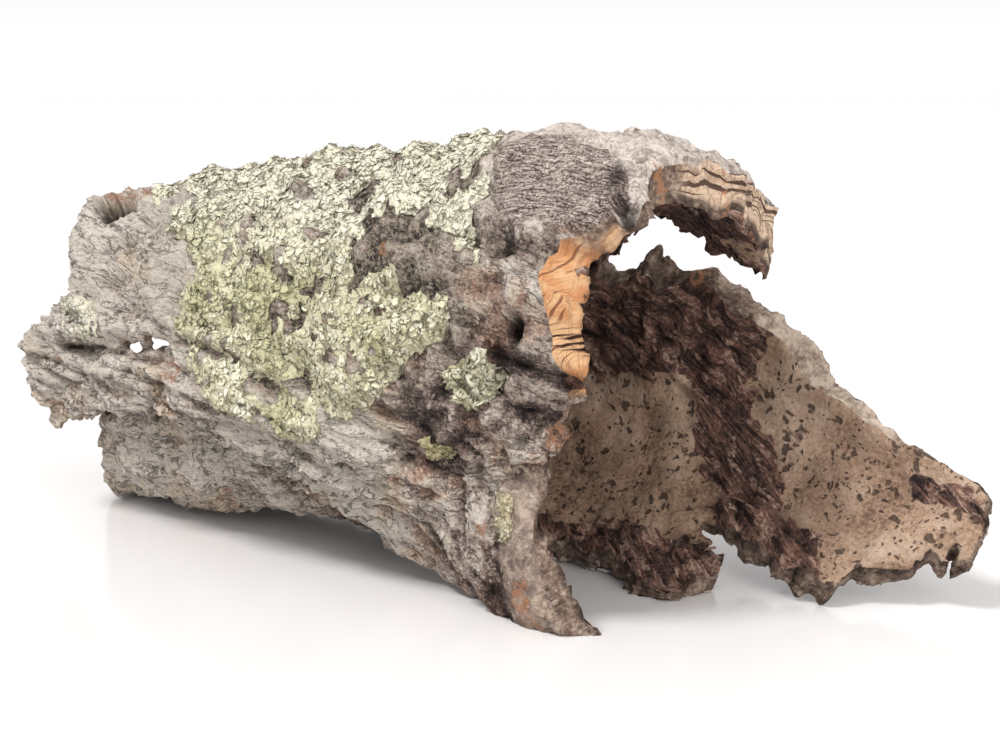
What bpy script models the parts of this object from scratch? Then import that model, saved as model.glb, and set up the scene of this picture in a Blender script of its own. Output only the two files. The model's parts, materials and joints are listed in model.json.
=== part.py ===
import bpy
import numpy as np

# A curled piece of cork bark, open at both ends and slit along its underside, with lichen on its outer face.
# Lengths are in millimetres and angles in degrees. Angles go round the tube: 0 is the back, 90 the top,
# 180 the front, 235 the front foot and -90 the bottom. The tube runs along X.

# The tube's outer surface: a centre line, and one row of radii for each station along X.
STATIONS = (-190, -150, -100, -60, -25, 20, 70, 98, 118, 150, 196)
CENTRE_Y = (15, 12, 8, 6, 4, 2, 0, 0, 1, 3, 8)
CENTRE_Z = (61, 63, 67, 70, 72, 74, 75, 75, 75, 75, 75)
AROUND = (-160, -140, -115, -90, -45, 0, 45, 90, 125, 150, 180, 210, 235, 252)
RADII = (
    (44, 48, 57, 61, 60, 58, 58, 60, 58, 52, 48, 48, 50, 50),
    (47, 50, 60, 63, 64, 62, 64, 66, 66, 58, 54, 54, 54, 54),
    (49, 53, 61, 63, 68, 66, 68, 72, 68, 61, 58, 60, 60, 60),
    (50, 55, 61, 62, 69, 67, 69, 75, 69, 62, 59, 61, 62, 64),
    (52, 58, 62, 65, 70, 68, 71, 78, 71, 63, 59, 61, 65, 72),
    (56, 64, 68, 72, 70, 68, 73, 84, 76, 65, 58, 60, 73, 78),
    (60, 68, 74, 76, 71, 67, 75, 90, 81, 67, 57, 60, 93, 98),
    (60, 70, 76, 77, 71, 66, 72, 88, 81, 68, 56, 60, 98, 100),
    (60, 70, 76, 77, 71, 64, 67, 78, 71, 66, 56, 60, 98, 100),
    (60, 70, 77, 80, 69, 60, 63, 70, 70, 62, 56, 60, 94, 98),
    (60, 70, 76, 76, 66, 57, 60, 64, 64, 60, 56, 60, 90, 94),
)

# The sheet's two long edges as (x, angle): the front one over the slit, and the one it is curled round to.
FRONT_EDGE = (
    (-190, 216), (-150, 205), (-125, 196), (-100, 196), (-76, 203), (-57, 209), (-36, 220),
    (-20, 230), (0, 242), (18, 249), (39, 246), (56, 241), (77, 238), (196, 238),
)
BOTTOM_EDGE = (
    (-190, -139), (-150, -150), (-125, -159), (-100, -159), (-76, -152), (-57, -146), (-36, -135),
    (-20, -126), (-6, -117), (8, -111), (20, -107), (32, -105), (46, -104), (66, -102), (93, -98), (196, -97),
)

# Where the sheet stops on the right and on the left, as (angle, x).
RIGHT_END = (
    (-97, 140), (-85, 147), (-76, 151), (-70, 157), (-66, 168), (-61, 187),
    (-53, 193), (-45, 196), (-37, 193), (-30, 181), (-22, 163), (-13, 150), (-5, 137), (7, 128),
    (19, 118), (25, 108), (31, 96), (36, 106), (41, 113), (50, 114), (58, 118), (66, 116),
    (75, 118), (86, 118), (95, 113), (103, 106), (110, 103), (116, 105), (120, 105), (123, 100), (127, 91),
    (131, 80), (139, 78), (146, 80), (153, 83), (162, 85), (171, 86), (180, 84), (192, 81),
    (202, 77), (214, 74), (221, 78), (226, 86), (231, 95), (236, 98), (252, 99),
)
LEFT_END = (
    (-159, -148), (-145, -151), (-125, -157), (-105, -168), (-90, -174), (-75, -171), (-60, -160),
    (-45, -163),
    (-30, -170), (-15, -160), (0, -157), (20, -164), (40, -158), (60, -149), (80, -154), (97, -160),
    (112, -161), (124, -158), (135, -156), (145, -152), (152, -163), (163, -178), (174, -185),
    (186, -183), (196, -177), (206, -172), (216, -160),
)

# The sheet's thickness, as (angle, thickness): thin at the wing's tip, thick at the top.
THICKNESS = (
    (-160, 7), (-110, 9), (-60, 9), (-30, 8), (0, 9), (40, 13), (65, 17), (90, 16), (125, 15),
    (150, 12), (172, 8), (200, 8), (222, 8), (236, 11), (252, 11),
)

# Swellings and hollows of the outer face: x, angle, half length, half width in degrees, height.
SWELLINGS = {
    "knot_collar": (-146, 118, 17, 15, 8.0),
    "knot_hollow": (-141, 119, 9, 9, -13.0),
    "left_lobe": (-176, 180, 12, 14, 3.0),
    "crack": (-133, 172, 20, 4, -5.0),
    "fold_above_crack": (-118, 148, 26, 8, -3.0),
    "ridge_over_slit": (-80, 190, 46, 9, 4.0),
    "ridge_to_foot": (-8, 205, 34, 10, 3.5),
    "crust_shelf": (62, 108, 26, 16, 3.5),
    "dip_at_mouth": (45, 158, 16, 12, -3.5),
    "lip_at_mouth": (70, 190, 12, 26, 2.5),
    "groove_behind_lip": (40, 190, 14, 22, -3.0),
    "back_ridge": (-20, 60, 30, 16, 4.0),
    "back_hollow": (30, 20, 26, 18, -4.0),
    "back_swelling": (-100, 20, 32, 20, 4.0),
    "wing_ridge": (90, -20, 40, 12, 3.0),
}
# The inner face follows the outer one, but no swelling higher than this.
INNER_LIMIT = 5.0
# Beside the tongue the sheet thins to a lip: x, angle, half length, half width, and the thickness it loses.
THIN_LIP = (106, 120, 20, 11, 8.5)

# The broken edge at the mouth slopes: how far its inner rim stands beyond its outer one, as (angle, reach).
# The inner face slides out between the two places along X.
EDGE_SLOPE = (
    (100, 0), (116, 0), (126, 4), (131, 10), (145, 10), (150, 8), (157, 9), (166, 6), (175, 1), (184, 0),
    (216, 0), (226, 3), (236, 6), (252, 4),
)
SLOPE_START, SLOPE_END = 40, 78

# Seeded unevenness of the two faces: step along X, step in degrees, height, seed.
# It repeats after so many steps along and round, which is more than the sheet has.
LUMP_STEPS = (90, 120)
LUMP_START_X, LUMP_START_ANGLE = -260, -200
OUTER_LUMPS = ((46, 30, 3.6, 11), (24, 14, 2.6, 12))
INNER_LUMPS = ((40, 30, 1.8, 21), (18, 15, 0.9, 22))

# Gaps right through the sheet, as rows of two (x, angle) points that face each other across the gap.
TOP_NOTCH = (
    ((43, 31), (43, 35)), ((52, 28), (52, 44)), ((60, 29), (60, 51)), ((67, 33), (67, 57)),
    ((73, 33), (74, 62)), ((79, 30), (80, 56)), ((86, 27), (87, 46)), ((94, 25), (94, 42)),
    ((105, 22), (105, 41)), ((122, 16), (122, 41)),
)
BOTTOM_NOTCH = (
    ((92, -59), (98, -59)), ((95, -64), (107, -63)), ((100, -69), (117, -68)), ((105, -74), (128, -73)),
    ((107, -79), (152, -78)), ((105, -85), (162, -86)), ((101, -91), (162, -94)), ((91, -100), (162, -106)),
)
SLIT_BAY = (
    ((2, -115), (2, -112)), ((8, -112), (8, -103)), ((20, -109), (20, -92)), ((32, -108), (32, -84)),
    ((46, -108), (46, -80)), ((66, -106), (66, -83)), ((80, -103), (80, -89)), ((97, -102), (97, -98)),
)

# Small holes: x, angle, radius, depth below the smooth surface. Their corners are shares of the radius.
HOLES = {
    "crack_hole": (-108, 169, 3.6, 26),
    "crack_pinhole": (-94, 167, 2.4, 26),
    "beetle_hole": (68, 153, 3.0, 7),
}
HOLE_CORNERS = ((-1, 0.4), (-0.4, 1), (0.4, 1), (1, 0.4))
FRONT_RADIUS = 62

# The lichens: middle (x, angle), rim points, spokes, rings, height at the rim and further in, seed.
LICHENS = {
    "lichen_mat": {
        "middle": (-45, 138),
        "rim": (
            (-131, 104), (-121, 120), (-110, 131), (-102, 150), (-85, 163),
            (-72, 180), (-55, 189), (-38, 197),
            (-19, 197), (-2, 190), (12, 180), (22, 169), (38, 158), (48, 145), (51, 135), (43, 126),
            (45, 115), (33, 100), (22, 86), (-14, 78), (-50, 72), (-88, 76), (-118, 86),
        ),
        "cells": (64, 9),
        "height": (1.7, 4.6),
        "seed": 31,
    },
    "lichen_rosette": {
        "middle": (50, 170),
        "rim": ((55, 162), (45, 163), (39, 171), (46, 178), (56, 177), (61, 169)),
        "cells": (26, 3),
        "height": (1.5, 2.6),
        "seed": 32,
    },
    "lichen_patch_left": {
        "middle": (-142, 160),
        "rim": ((-137, 153), (-149, 151), (-154, 157), (-145, 168), (-136, 169), (-130, 162)),
        "cells": (24, 3),
        "height": (1.4, 2.2),
        "seed": 33,
    },
    "lichen_patch_front": {
        "middle": (33, 198),
        "rim": ((34, 193), (29, 194), (30, 200), (35, 203), (38, 199)),
        "cells": (18, 2),
        "height": (1.3, 1.8),
        "seed": 34,
    },
    "lichen_patch_foot": {
        "middle": (60, 215),
        "rim": ((61, 210), (56, 211), (57, 218), (62, 221), (65, 216)),
        "cells": (18, 2),
        "height": (1.3, 1.8),
        "seed": 35,
    },
}
# The gap between a lichen and the bark, and how deep the uncut slab and the block that cuts it reach in.
LICHEN_GAP, LICHEN_ROOT, COVER_DEPTH = 0.4, 4.0, 6.0
# Each lobe of a rim covers this many spokes and stands out by this share. The top is crinkled by this height.
LOBE_SPOKES, LOBE_DEPTH, CRINKLE = 3.7, 0.05, 0.9

# How far a cutter reaches above the smooth surface, and how deep one that goes right through.
ABOVE, THROUGH = 14, 26

# Where the middle of the part's outline lies on the plan, which becomes the origin.
MIDDLE_X, MIDDLE_Y = 5.3, 8.0

MM = 0.001
FLOOR = 0.0
CELLS_ALONG, CELLS_AROUND = 36, 58
SETTLING_ROUNDS = 30
CORK_COLOUR, LICHEN_COLOUR = (0.235, 0.165, 0.130), (0.47, 0.44, 0.27)


def smooth_step(value, low, high):
    """0 below low, 1 above high, and an even rise between."""
    share = np.clip((value - low) / (high - low), 0, 1)
    return share * share * (3 - 2 * share)


def blend(width, share, first, last, first_slope, last_slope):
    """A cubic from first to last that starts and ends with the given slopes."""
    square, cube = share**2, share**3
    return (
        (2 * cube - 3 * square + 1) * first
        + (cube - 2 * square + share) * width * first_slope
        + (3 * square - 2 * cube) * last
        + (cube - square) * width * last_slope
    )


def curve_at(table, where):
    """A smooth curve through (place, value) pairs, read at where."""
    places, values = np.array(table, float).T
    slopes = np.gradient(values, places)
    where = np.clip(where, places[0], places[-1])
    left = np.clip(np.searchsorted(places, where, side="right") - 1, 0, len(places) - 2)
    width = places[left + 1] - places[left]
    share = (where - places[left]) / width
    return blend(width, share, values[left], values[left + 1], slopes[left], slopes[left + 1])


def outer_radius(x, angle):
    """The smooth outer surface's distance from the centre line."""
    rows = np.stack([curve_at(list(zip(STATIONS, column)), x) for column in zip(*RADII)], -1)
    angles = np.array(AROUND, float)
    slopes = np.gradient(rows, angles, axis=-1)
    angle = np.clip(angle, angles[0], angles[-1])
    left = np.clip(np.searchsorted(angles, angle, side="right") - 1, 0, len(angles) - 2)
    width = angles[left + 1] - angles[left]
    share = (angle - angles[left]) / width

    def pick(table, index):
        return np.take_along_axis(table, index[..., None], -1)[..., 0]

    first, last = pick(rows, left), pick(rows, left + 1)
    return blend(width, share, first, last, pick(slopes, left), pick(slopes, left + 1))


def lumps(x, angle, step_x, step_angle, height, seed):
    """Smooth seeded noise over the sheet."""
    turns = np.random.default_rng(seed).uniform(0, 2 * np.pi, LUMP_STEPS)
    across, round_it = (x - LUMP_START_X) / step_x, (angle - LUMP_START_ANGLE) / step_angle
    i, j = np.floor(across).astype(int), np.floor(round_it).astype(int)
    f, g = across - i, round_it - j

    def corner(a, b):
        turn = turns[(i + a) % LUMP_STEPS[0], (j + b) % LUMP_STEPS[1]]
        return np.cos(turn) * (f - a) + np.sin(turn) * (g - b)

    ease_f, ease_g = smooth_step(f, 0, 1), smooth_step(g, 0, 1)
    low = corner(0, 0) + ease_f * (corner(1, 0) - corner(0, 0))
    high = corner(0, 1) + ease_f * (corner(1, 1) - corner(0, 1))
    return 1.5 * height * (low + ease_g * (high - low))


def swelling(x, angle, middle, turn, length, width, height):
    """A smooth rise round one place of the sheet."""
    return height * np.exp(-(((x - middle) / length) ** 2) - ((angle - turn) / width) ** 2)


def outer_relief(x, angle):
    """How far the outer face stands out from the smooth surface."""
    rise = sum(lumps(x, angle, *row) for row in OUTER_LUMPS)
    return rise + sum(swelling(x, angle, *row) for row in SWELLINGS.values())


def point_at(x, angle, rise):
    """A point that stands out by rise from the smooth surface, in millimetres."""
    radius = outer_radius(x, angle) + rise
    turn = np.radians(angle)
    y = curve_at(list(zip(STATIONS, CENTRE_Y)), x) + radius * np.cos(turn)
    z = curve_at(list(zip(STATIONS, CENTRE_Z)), x) + radius * np.sin(turn)
    return np.stack([x - MIDDLE_X, y - MIDDLE_Y, z], -1)


def sheet_grid():
    """The (x, angle) of every grid point: along the tube on the first axis, round it on the second."""
    along = np.linspace(0, 1, CELLS_ALONG + 1)[:, None]
    share = np.linspace(0, 1, CELLS_AROUND + 1)
    x = np.linspace(STATIONS[0], STATIONS[-1], CELLS_ALONG + 1)[:, None] + 0 * share
    for _ in range(SETTLING_ROUNDS):
        low, high = curve_at(BOTTOM_EDGE, x), curve_at(FRONT_EDGE, x)
        angle = low + share * (high - low)
        left, right = curve_at(LEFT_END, angle[0]), curve_at(RIGHT_END, angle[-1])
        x = (x + left + along * (right - left)) / 2
    return x, angle


def slab_mesh(name, layers, guide=None):
    """A closed mesh from an outer and an inner point grid, split along the guide's shorter diagonals."""
    guide = layers[0] if guide is None else guide
    _, rows, columns, _ = layers.shape
    outer, inner = np.arange(2 * rows * columns).reshape(2, rows, columns)
    rising = np.linalg.norm(guide[1:, 1:] - guide[:-1, :-1], axis=-1)
    falling = np.linalg.norm(guide[1:, :-1] - guide[:-1, 1:], axis=-1)
    corners = []

    def quads(a, b, c, d, other=False):
        first = np.where(np.expand_dims(other, -1), np.stack([a, d, b], -1), np.stack([a, c, b], -1))
        second = np.where(np.expand_dims(other, -1), np.stack([b, d, c], -1), np.stack([a, d, c], -1))
        corners.extend([first.reshape(-1, 3), second.reshape(-1, 3)])

    quads(outer[:-1, :-1], outer[1:, :-1], outer[1:, 1:], outer[:-1, 1:], rising > falling)
    quads(inner[:-1, 1:], inner[1:, 1:], inner[1:, :-1], inner[:-1, :-1], rising > falling)
    quads(outer[:-1, 0], inner[:-1, 0], inner[1:, 0], outer[1:, 0])
    quads(outer[:-1, -1], outer[1:, -1], inner[1:, -1], inner[:-1, -1])
    quads(outer[0, :-1], outer[0, 1:], inner[0, 1:], inner[0, :-1])
    quads(outer[-1, :-1], inner[-1, :-1], inner[-1, 1:], outer[-1, 1:])
    mesh = bpy.data.meshes.new(name)
    mesh.from_pydata((layers.reshape(-1, 3) * MM).tolist(), [], np.concatenate(corners).tolist())
    return mesh


def add_piece(name, mesh):
    piece = bpy.data.objects.new(name, mesh)
    bpy.context.scene.collection.objects.link(piece)
    return piece


def hide(cutter):
    cutter.hide_render = True
    cutter.display_type = "WIRE"
    return cutter


def strip_cutter(name, rows, depth):
    """A closed block through the sheet whose outline follows the rows' two ends."""
    grid = np.array(rows, float)
    x, angle = grid[..., 0], grid[..., 1]
    layers = np.stack([point_at(x, angle, ABOVE), point_at(x, angle, -depth)])
    return hide(add_piece(name + "_cutter", slab_mesh(name, layers)))


def cut(piece, cutter, label):
    step = piece.modifiers.new(label, "BOOLEAN")
    step.operation = "DIFFERENCE"
    step.solver = "EXACT"
    step.object = cutter


def hole_rows(x, angle, radius):
    """The rows of an eight-sided hole."""
    turn = np.degrees(radius / FRONT_RADIUS)
    return [((x + a * radius, angle - b * turn), (x + a * radius, angle + b * turn)) for a, b in HOLE_CORNERS]


def bark_faces():
    """The bark's grid with the outer and the inner face's height above the smooth surface."""
    x, angle = sheet_grid()
    outer = outer_relief(x, angle)
    thickness = curve_at(THICKNESS, angle) + sum(lumps(x, angle, *row) for row in INNER_LUMPS)
    return x, angle, outer, np.minimum(outer, INNER_LIMIT) - thickness + swelling(x, angle, *THIN_LIP)


def bark():
    x, angle, outer, inner = bark_faces()
    slide = curve_at(EDGE_SLOPE, angle) * smooth_step(x, SLOPE_START, SLOPE_END)
    layers = np.stack([point_at(x, angle, outer), point_at(x + slide, angle, inner)])
    layers[..., 2] = np.maximum(layers[..., 2], FLOOR)
    piece = add_piece("bark", slab_mesh("bark", layers, point_at(x, angle, outer)))
    cut(piece, strip_cutter("top_notch", TOP_NOTCH, THROUGH), "top_notch")
    cut(piece, strip_cutter("bottom_notch", BOTTOM_NOTCH, THROUGH), "bottom_notch")
    cut(piece, strip_cutter("slit_bay", SLIT_BAY, THROUGH), "slit_bay")
    for name, (middle, turn, radius, depth) in HOLES.items():
        cut(piece, strip_cutter(name, hole_rows(middle, turn, radius), depth), name)
    paint(piece, "cork", CORK_COLOUR)


def lichen_cover():
    """The bark's outer face raised by the gap that every lichen keeps from it."""
    x, angle, outer, _ = bark_faces()
    layers = np.stack([point_at(x, angle, outer + LICHEN_GAP), point_at(x, angle, outer - COVER_DEPTH)])
    return hide(add_piece("lichen_cover", slab_mesh("lichen_cover", layers, point_at(x, angle, outer))))


def closed_curve(points, count):
    """Evenly numbered places on a smooth closed curve through the points."""
    points = np.array(points, float)
    place = np.arange(count) * len(points) / count
    left = np.floor(place).astype(int)
    share = (place - left)[:, None]
    before, first, last, after = (points[(left + k) % len(points)] for k in (-1, 0, 1, 2))
    return blend(1, share, first, last, (last - before) / 2, (after - first) / 2)


def lichen(name, make, cover):
    """A lobed slab on the outer face, its underside cut to the face of the bark."""
    spokes, rings = make["cells"]
    low, high = make["height"]
    rng = np.random.default_rng(make["seed"])
    middle = np.array(make["middle"], float)
    rim = closed_curve(make["rim"], spokes) - middle
    share = np.repeat((np.arange(1, rings + 1) / rings)[:, None] ** 0.85, spokes, axis=1)
    waves = np.cos(np.arange(spokes) * 2 * np.pi / LOBE_SPOKES)
    share[-1] += LOBE_DEPTH * waves * rng.uniform(0.3, 1.3, spokes)
    flat = np.concatenate([middle[None], (middle + share[..., None] * rim).reshape(-1, 2)])
    x, angle = flat.T
    inward = np.concatenate([[1.0], np.repeat(1 - np.arange(1, rings + 1) / rings, spokes)])
    height = low + (high - low) * smooth_step(inward, 0, 0.35)
    height = height + rng.uniform(-CRINKLE, CRINKLE, len(x)) * smooth_step(inward, 0, 0.2)
    base = outer_relief(x, angle)
    points = np.concatenate([point_at(x, angle, base + height), point_at(x, angle, base - LICHEN_ROOT)])
    count = len(x)
    faces = []
    for k in range(spokes):
        after = (k + 1) % spokes
        faces += [(0, 1 + k, 1 + after), (count, count + 1 + after, count + 1 + k)]
        for ring in range(rings - 1):
            a, b = 1 + ring * spokes + k, 1 + ring * spokes + after
            c, d = a + spokes, b + spokes
            faces += [(a, c, d), (a, d, b)]
            faces += [(count + a, count + d, count + c), (count + a, count + b, count + d)]
        a, b = 1 + (rings - 1) * spokes + k, 1 + (rings - 1) * spokes + after
        faces += [(a, count + a, count + b), (a, count + b, b)]
    mesh = bpy.data.meshes.new(name)
    mesh.from_pydata((points * MM).tolist(), [], faces)
    piece = add_piece(name, mesh)
    cut(piece, cover, "bark_face")
    return piece


def paint(piece, name, colour):
    material = bpy.data.materials.new(name)
    material.use_nodes = True
    shader = material.node_tree.nodes["Principled BSDF"]
    shader.inputs["Base Color"].default_value = (*colour, 1)
    shader.inputs["Roughness"].default_value = 0.9
    piece.data.materials.append(material)


def clear_scene():
    for thing in list(bpy.data.objects):
        bpy.data.objects.remove(thing)


clear_scene()
bark()
shared_cover = lichen_cover()
for lichen_name, lichen_make in LICHENS.items():
    thallus = lichen(lichen_name, lichen_make, shared_cover)
    paint(thallus, lichen_name, LICHEN_COLOUR)
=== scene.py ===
import json
import math

import bpy
import numpy as np
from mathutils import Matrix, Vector

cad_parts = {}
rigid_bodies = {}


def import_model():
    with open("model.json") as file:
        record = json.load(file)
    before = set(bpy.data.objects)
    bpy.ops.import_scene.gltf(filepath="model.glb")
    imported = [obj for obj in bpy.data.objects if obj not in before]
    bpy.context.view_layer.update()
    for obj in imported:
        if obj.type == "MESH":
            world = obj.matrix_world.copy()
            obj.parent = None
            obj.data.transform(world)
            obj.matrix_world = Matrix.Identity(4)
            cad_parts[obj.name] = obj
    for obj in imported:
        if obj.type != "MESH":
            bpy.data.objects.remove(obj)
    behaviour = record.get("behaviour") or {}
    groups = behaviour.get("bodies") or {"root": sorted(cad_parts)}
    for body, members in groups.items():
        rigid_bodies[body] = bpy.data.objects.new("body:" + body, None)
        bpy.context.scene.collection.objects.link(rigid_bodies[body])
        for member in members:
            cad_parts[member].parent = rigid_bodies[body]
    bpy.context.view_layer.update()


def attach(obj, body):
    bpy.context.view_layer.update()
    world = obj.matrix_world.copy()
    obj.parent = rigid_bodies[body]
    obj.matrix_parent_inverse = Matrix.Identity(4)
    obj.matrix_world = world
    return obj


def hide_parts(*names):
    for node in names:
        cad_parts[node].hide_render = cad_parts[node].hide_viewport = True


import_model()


# Adds nodes to one tree. Each method but add returns the output of the node that it adds.
class Nodes:
    def __init__(self, tree):
        self.tree = tree

    def add(self, kind, settings=None, inputs=None):
        node = self.tree.nodes.new(kind)
        for key, value in (settings or {}).items():
            setattr(node, key, value)
        for key, value in (inputs or {}).items():
            if isinstance(value, bpy.types.NodeSocket):
                self.tree.links.new(value, node.inputs[key])
            else:
                node.inputs[key].default_value = value
        return node

    def calc(self, operation, *values):
        return self.add("ShaderNodeMath", {"operation": operation}, dict(enumerate(values))).outputs[0]

    def times(self, first, second):
        return self.calc("MULTIPLY", first, second)

    def larger(self, first, second):
        return self.calc("MAXIMUM", first, second)

    def weigh(self, *pairs):
        total = 0.0
        for value, weight in pairs:
            total = self.calc("MULTIPLY_ADD", value, weight, total)
        return total

    def blend(self, factor, first, second):
        return self.add("ShaderNodeMix", None, {0: factor, 2: first, 3: second}).outputs[0]

    def between(self, value, low, high, toLow=0.0, toHigh=1.0):
        inputs = {"Value": value, "From Min": low, "From Max": high, "To Min": toLow, "To Max": toHigh}
        return self.add("ShaderNodeMapRange", {"interpolation_type": "SMOOTHSTEP"}, inputs).outputs[0]

    # Mixes two colours, which are sockets, tuples or names in the bark's table of colours.
    def mix(self, factor, first, second, mode="MIX"):
        inputs = {0: factor}
        for socket, colour in ((6, first), (7, second)):
            colour = barkColours[colour] if isinstance(colour, str) else colour
            inputs[socket] = (*colour, 1) if isinstance(colour, tuple) else colour
        return self.add("ShaderNodeMix", {"data_type": "RGBA", "blend_type": mode}, inputs).outputs[2]

    def ramp(self, value, stops):
        node = self.add("ShaderNodeValToRGB", None, {"Fac": value})
        while len(node.color_ramp.elements) < len(stops):
            node.color_ramp.elements.new(0.5)
        for element, (place, colour) in zip(node.color_ramp.elements, stops):
            element.position = place
            element.color = (*(barkColours[colour] if isinstance(colour, str) else colour), 1)
        return node.outputs["Color"]

    def zone(self, name):
        return self.add("ShaderNodeAttribute", {"attribute_name": name}).outputs["Fac"]

    def place(self):
        return self.add("ShaderNodeTexCoord").outputs["Object"]

    # The turn comes before the stretch, so that long grain can run slantwise.
    def sheet(self, alongScale, acrossScale, turn=0.0):
        uv = self.add("ShaderNodeUVMap", {"uv_map": "sheet"}).outputs[0]
        turned = self.add("ShaderNodeMapping", None, {"Vector": uv, "Rotation": (0, 0, turn)}).outputs[0]
        inputs = {"Vector": turned, "Scale": (alongScale, acrossScale, 1.0)}
        return self.add("ShaderNodeMapping", None, inputs).outputs[0]

    def noise(self, place, scale, detail=5.0, roughness=0.6, distortion=0.0):
        inputs = {"Vector": place, "Scale": scale, "Detail": detail, "Roughness": roughness,
                  "Distortion": distortion}
        return self.add("ShaderNodeTexNoise", None, inputs).outputs["Fac"]

    # Thin lines: how far stretched noise is from its middle.
    def lines(self, place, detail, roughness, distortion=0.0):
        wave = self.noise(place, 1.0, detail, roughness, distortion)
        return self.calc("ABSOLUTE", self.calc("SUBTRACT", wave, 0.5))

    def finish(self, shader, colour, roughness, height, depth):
        self.tree.links.new(colour, shader.inputs["Base Color"])
        shader.inputs["Roughness"].default_value = roughness
        shader.inputs["Specular IOR Level"].default_value = 0.25
        bump = self.add("ShaderNodeBump", None, {"Height": height, "Distance": depth, "Strength": 1.0})
        self.tree.links.new(bump.outputs[0], shader.inputs["Normal"])


def newMaterial(name):
    material = bpy.data.materials.new(name)
    material.use_nodes = True
    tree = material.node_tree
    tree.nodes.clear()
    shader = tree.nodes.new("ShaderNodeBsdfPrincipled")
    output = tree.nodes.new("ShaderNodeOutputMaterial")
    tree.links.new(shader.outputs[0], output.inputs["Surface"])
    return material, Nodes(tree), shader


def linkObject(name, mesh):
    piece = bpy.data.objects.new(name, mesh)
    bpy.context.scene.collection.objects.link(piece)
    return piece


# Camera, light and floor.
studio = {
    "cameraPlace": (0.3837, -0.5880, 0.220), "azimuth": 32.0, "elevation": 12.0, "lens": 68.4, "sensor": 36.0,
    "skyStrength": 0.88, "sunStrength": 2.6, "sunAngle": 16.0, "sunFrom": (-0.30, -0.42, 0.86),
    "fillPlace": (1.10, -0.55, 0.55), "fillTarget": (0.02, 0.0, 0.07), "fillSize": 0.70, "fillPower": 7.0,
    "fillColour": (1.0, 0.97, 0.94), "floorHalf": 25.0, "floorColour": (0.72, 0.70, 0.695),
    "floorRoughness": 0.16, "floorSpecular": 0.45,
}


# A light's object, turned so that its given axis runs along a direction.
def addLamp(light, axis, direction):
    lamp = linkObject(light.name, light)
    lamp.rotation_mode = "QUATERNION"
    lamp.rotation_quaternion = direction.to_track_quat(axis, "Y")
    return lamp


def buildStudio():
    turn, tip = math.radians(studio["azimuth"]), math.radians(studio["elevation"])
    back = Vector((math.sin(turn) * math.cos(tip), -math.cos(turn) * math.cos(tip), math.sin(tip)))
    camera = linkObject("camera", bpy.data.cameras.new("camera"))
    camera.data.lens = studio["lens"]
    camera.data.sensor_width = studio["sensor"]
    camera.data.clip_start, camera.data.clip_end = 0.01, 100.0
    camera.location = studio["cameraPlace"]
    camera.rotation_mode = "QUATERNION"
    camera.rotation_quaternion = (-back).to_track_quat("-Z", "Y")
    bpy.context.scene.camera = camera
    bpy.context.scene.view_settings.view_transform = "Standard"

    world = bpy.data.worlds.new("softSky")
    world.use_nodes = True
    world.node_tree.nodes["Background"].inputs["Color"].default_value = (1.0, 1.0, 1.0, 1)
    world.node_tree.nodes["Background"].inputs["Strength"].default_value = studio["skyStrength"]
    bpy.context.scene.world = world

    fill = bpy.data.lights.new("fillLight", "AREA")
    fill.shape = "DISK"
    fill.size, fill.energy, fill.color = studio["fillSize"], studio["fillPower"], studio["fillColour"]
    place = Vector(studio["fillPlace"])
    addLamp(fill, "-Z", Vector(studio["fillTarget"]) - place).location = place
    sun = bpy.data.lights.new("softSun", "SUN")
    sun.energy, sun.angle = studio["sunStrength"], math.radians(studio["sunAngle"])
    addLamp(sun, "Z", Vector(studio["sunFrom"]))

    half = studio["floorHalf"]
    corners = [(-half, -half, 0), (half, -half, 0), (half, half, 0), (-half, half, 0)]
    mesh = bpy.data.meshes.new("floor")
    mesh.from_pydata(corners, [], [(0, 1, 2, 3)])
    floor = linkObject("floor", mesh)
    material, _, shader = newMaterial("whiteBoard")
    shader.inputs["Base Color"].default_value = (*studio["floorColour"], 1)
    shader.inputs["Roughness"].default_value = studio["floorRoughness"]
    shader.inputs["Specular IOR Level"].default_value = studio["floorSpecular"]
    mesh.materials.append(material)
    print("studio ready")


buildStudio()

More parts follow.
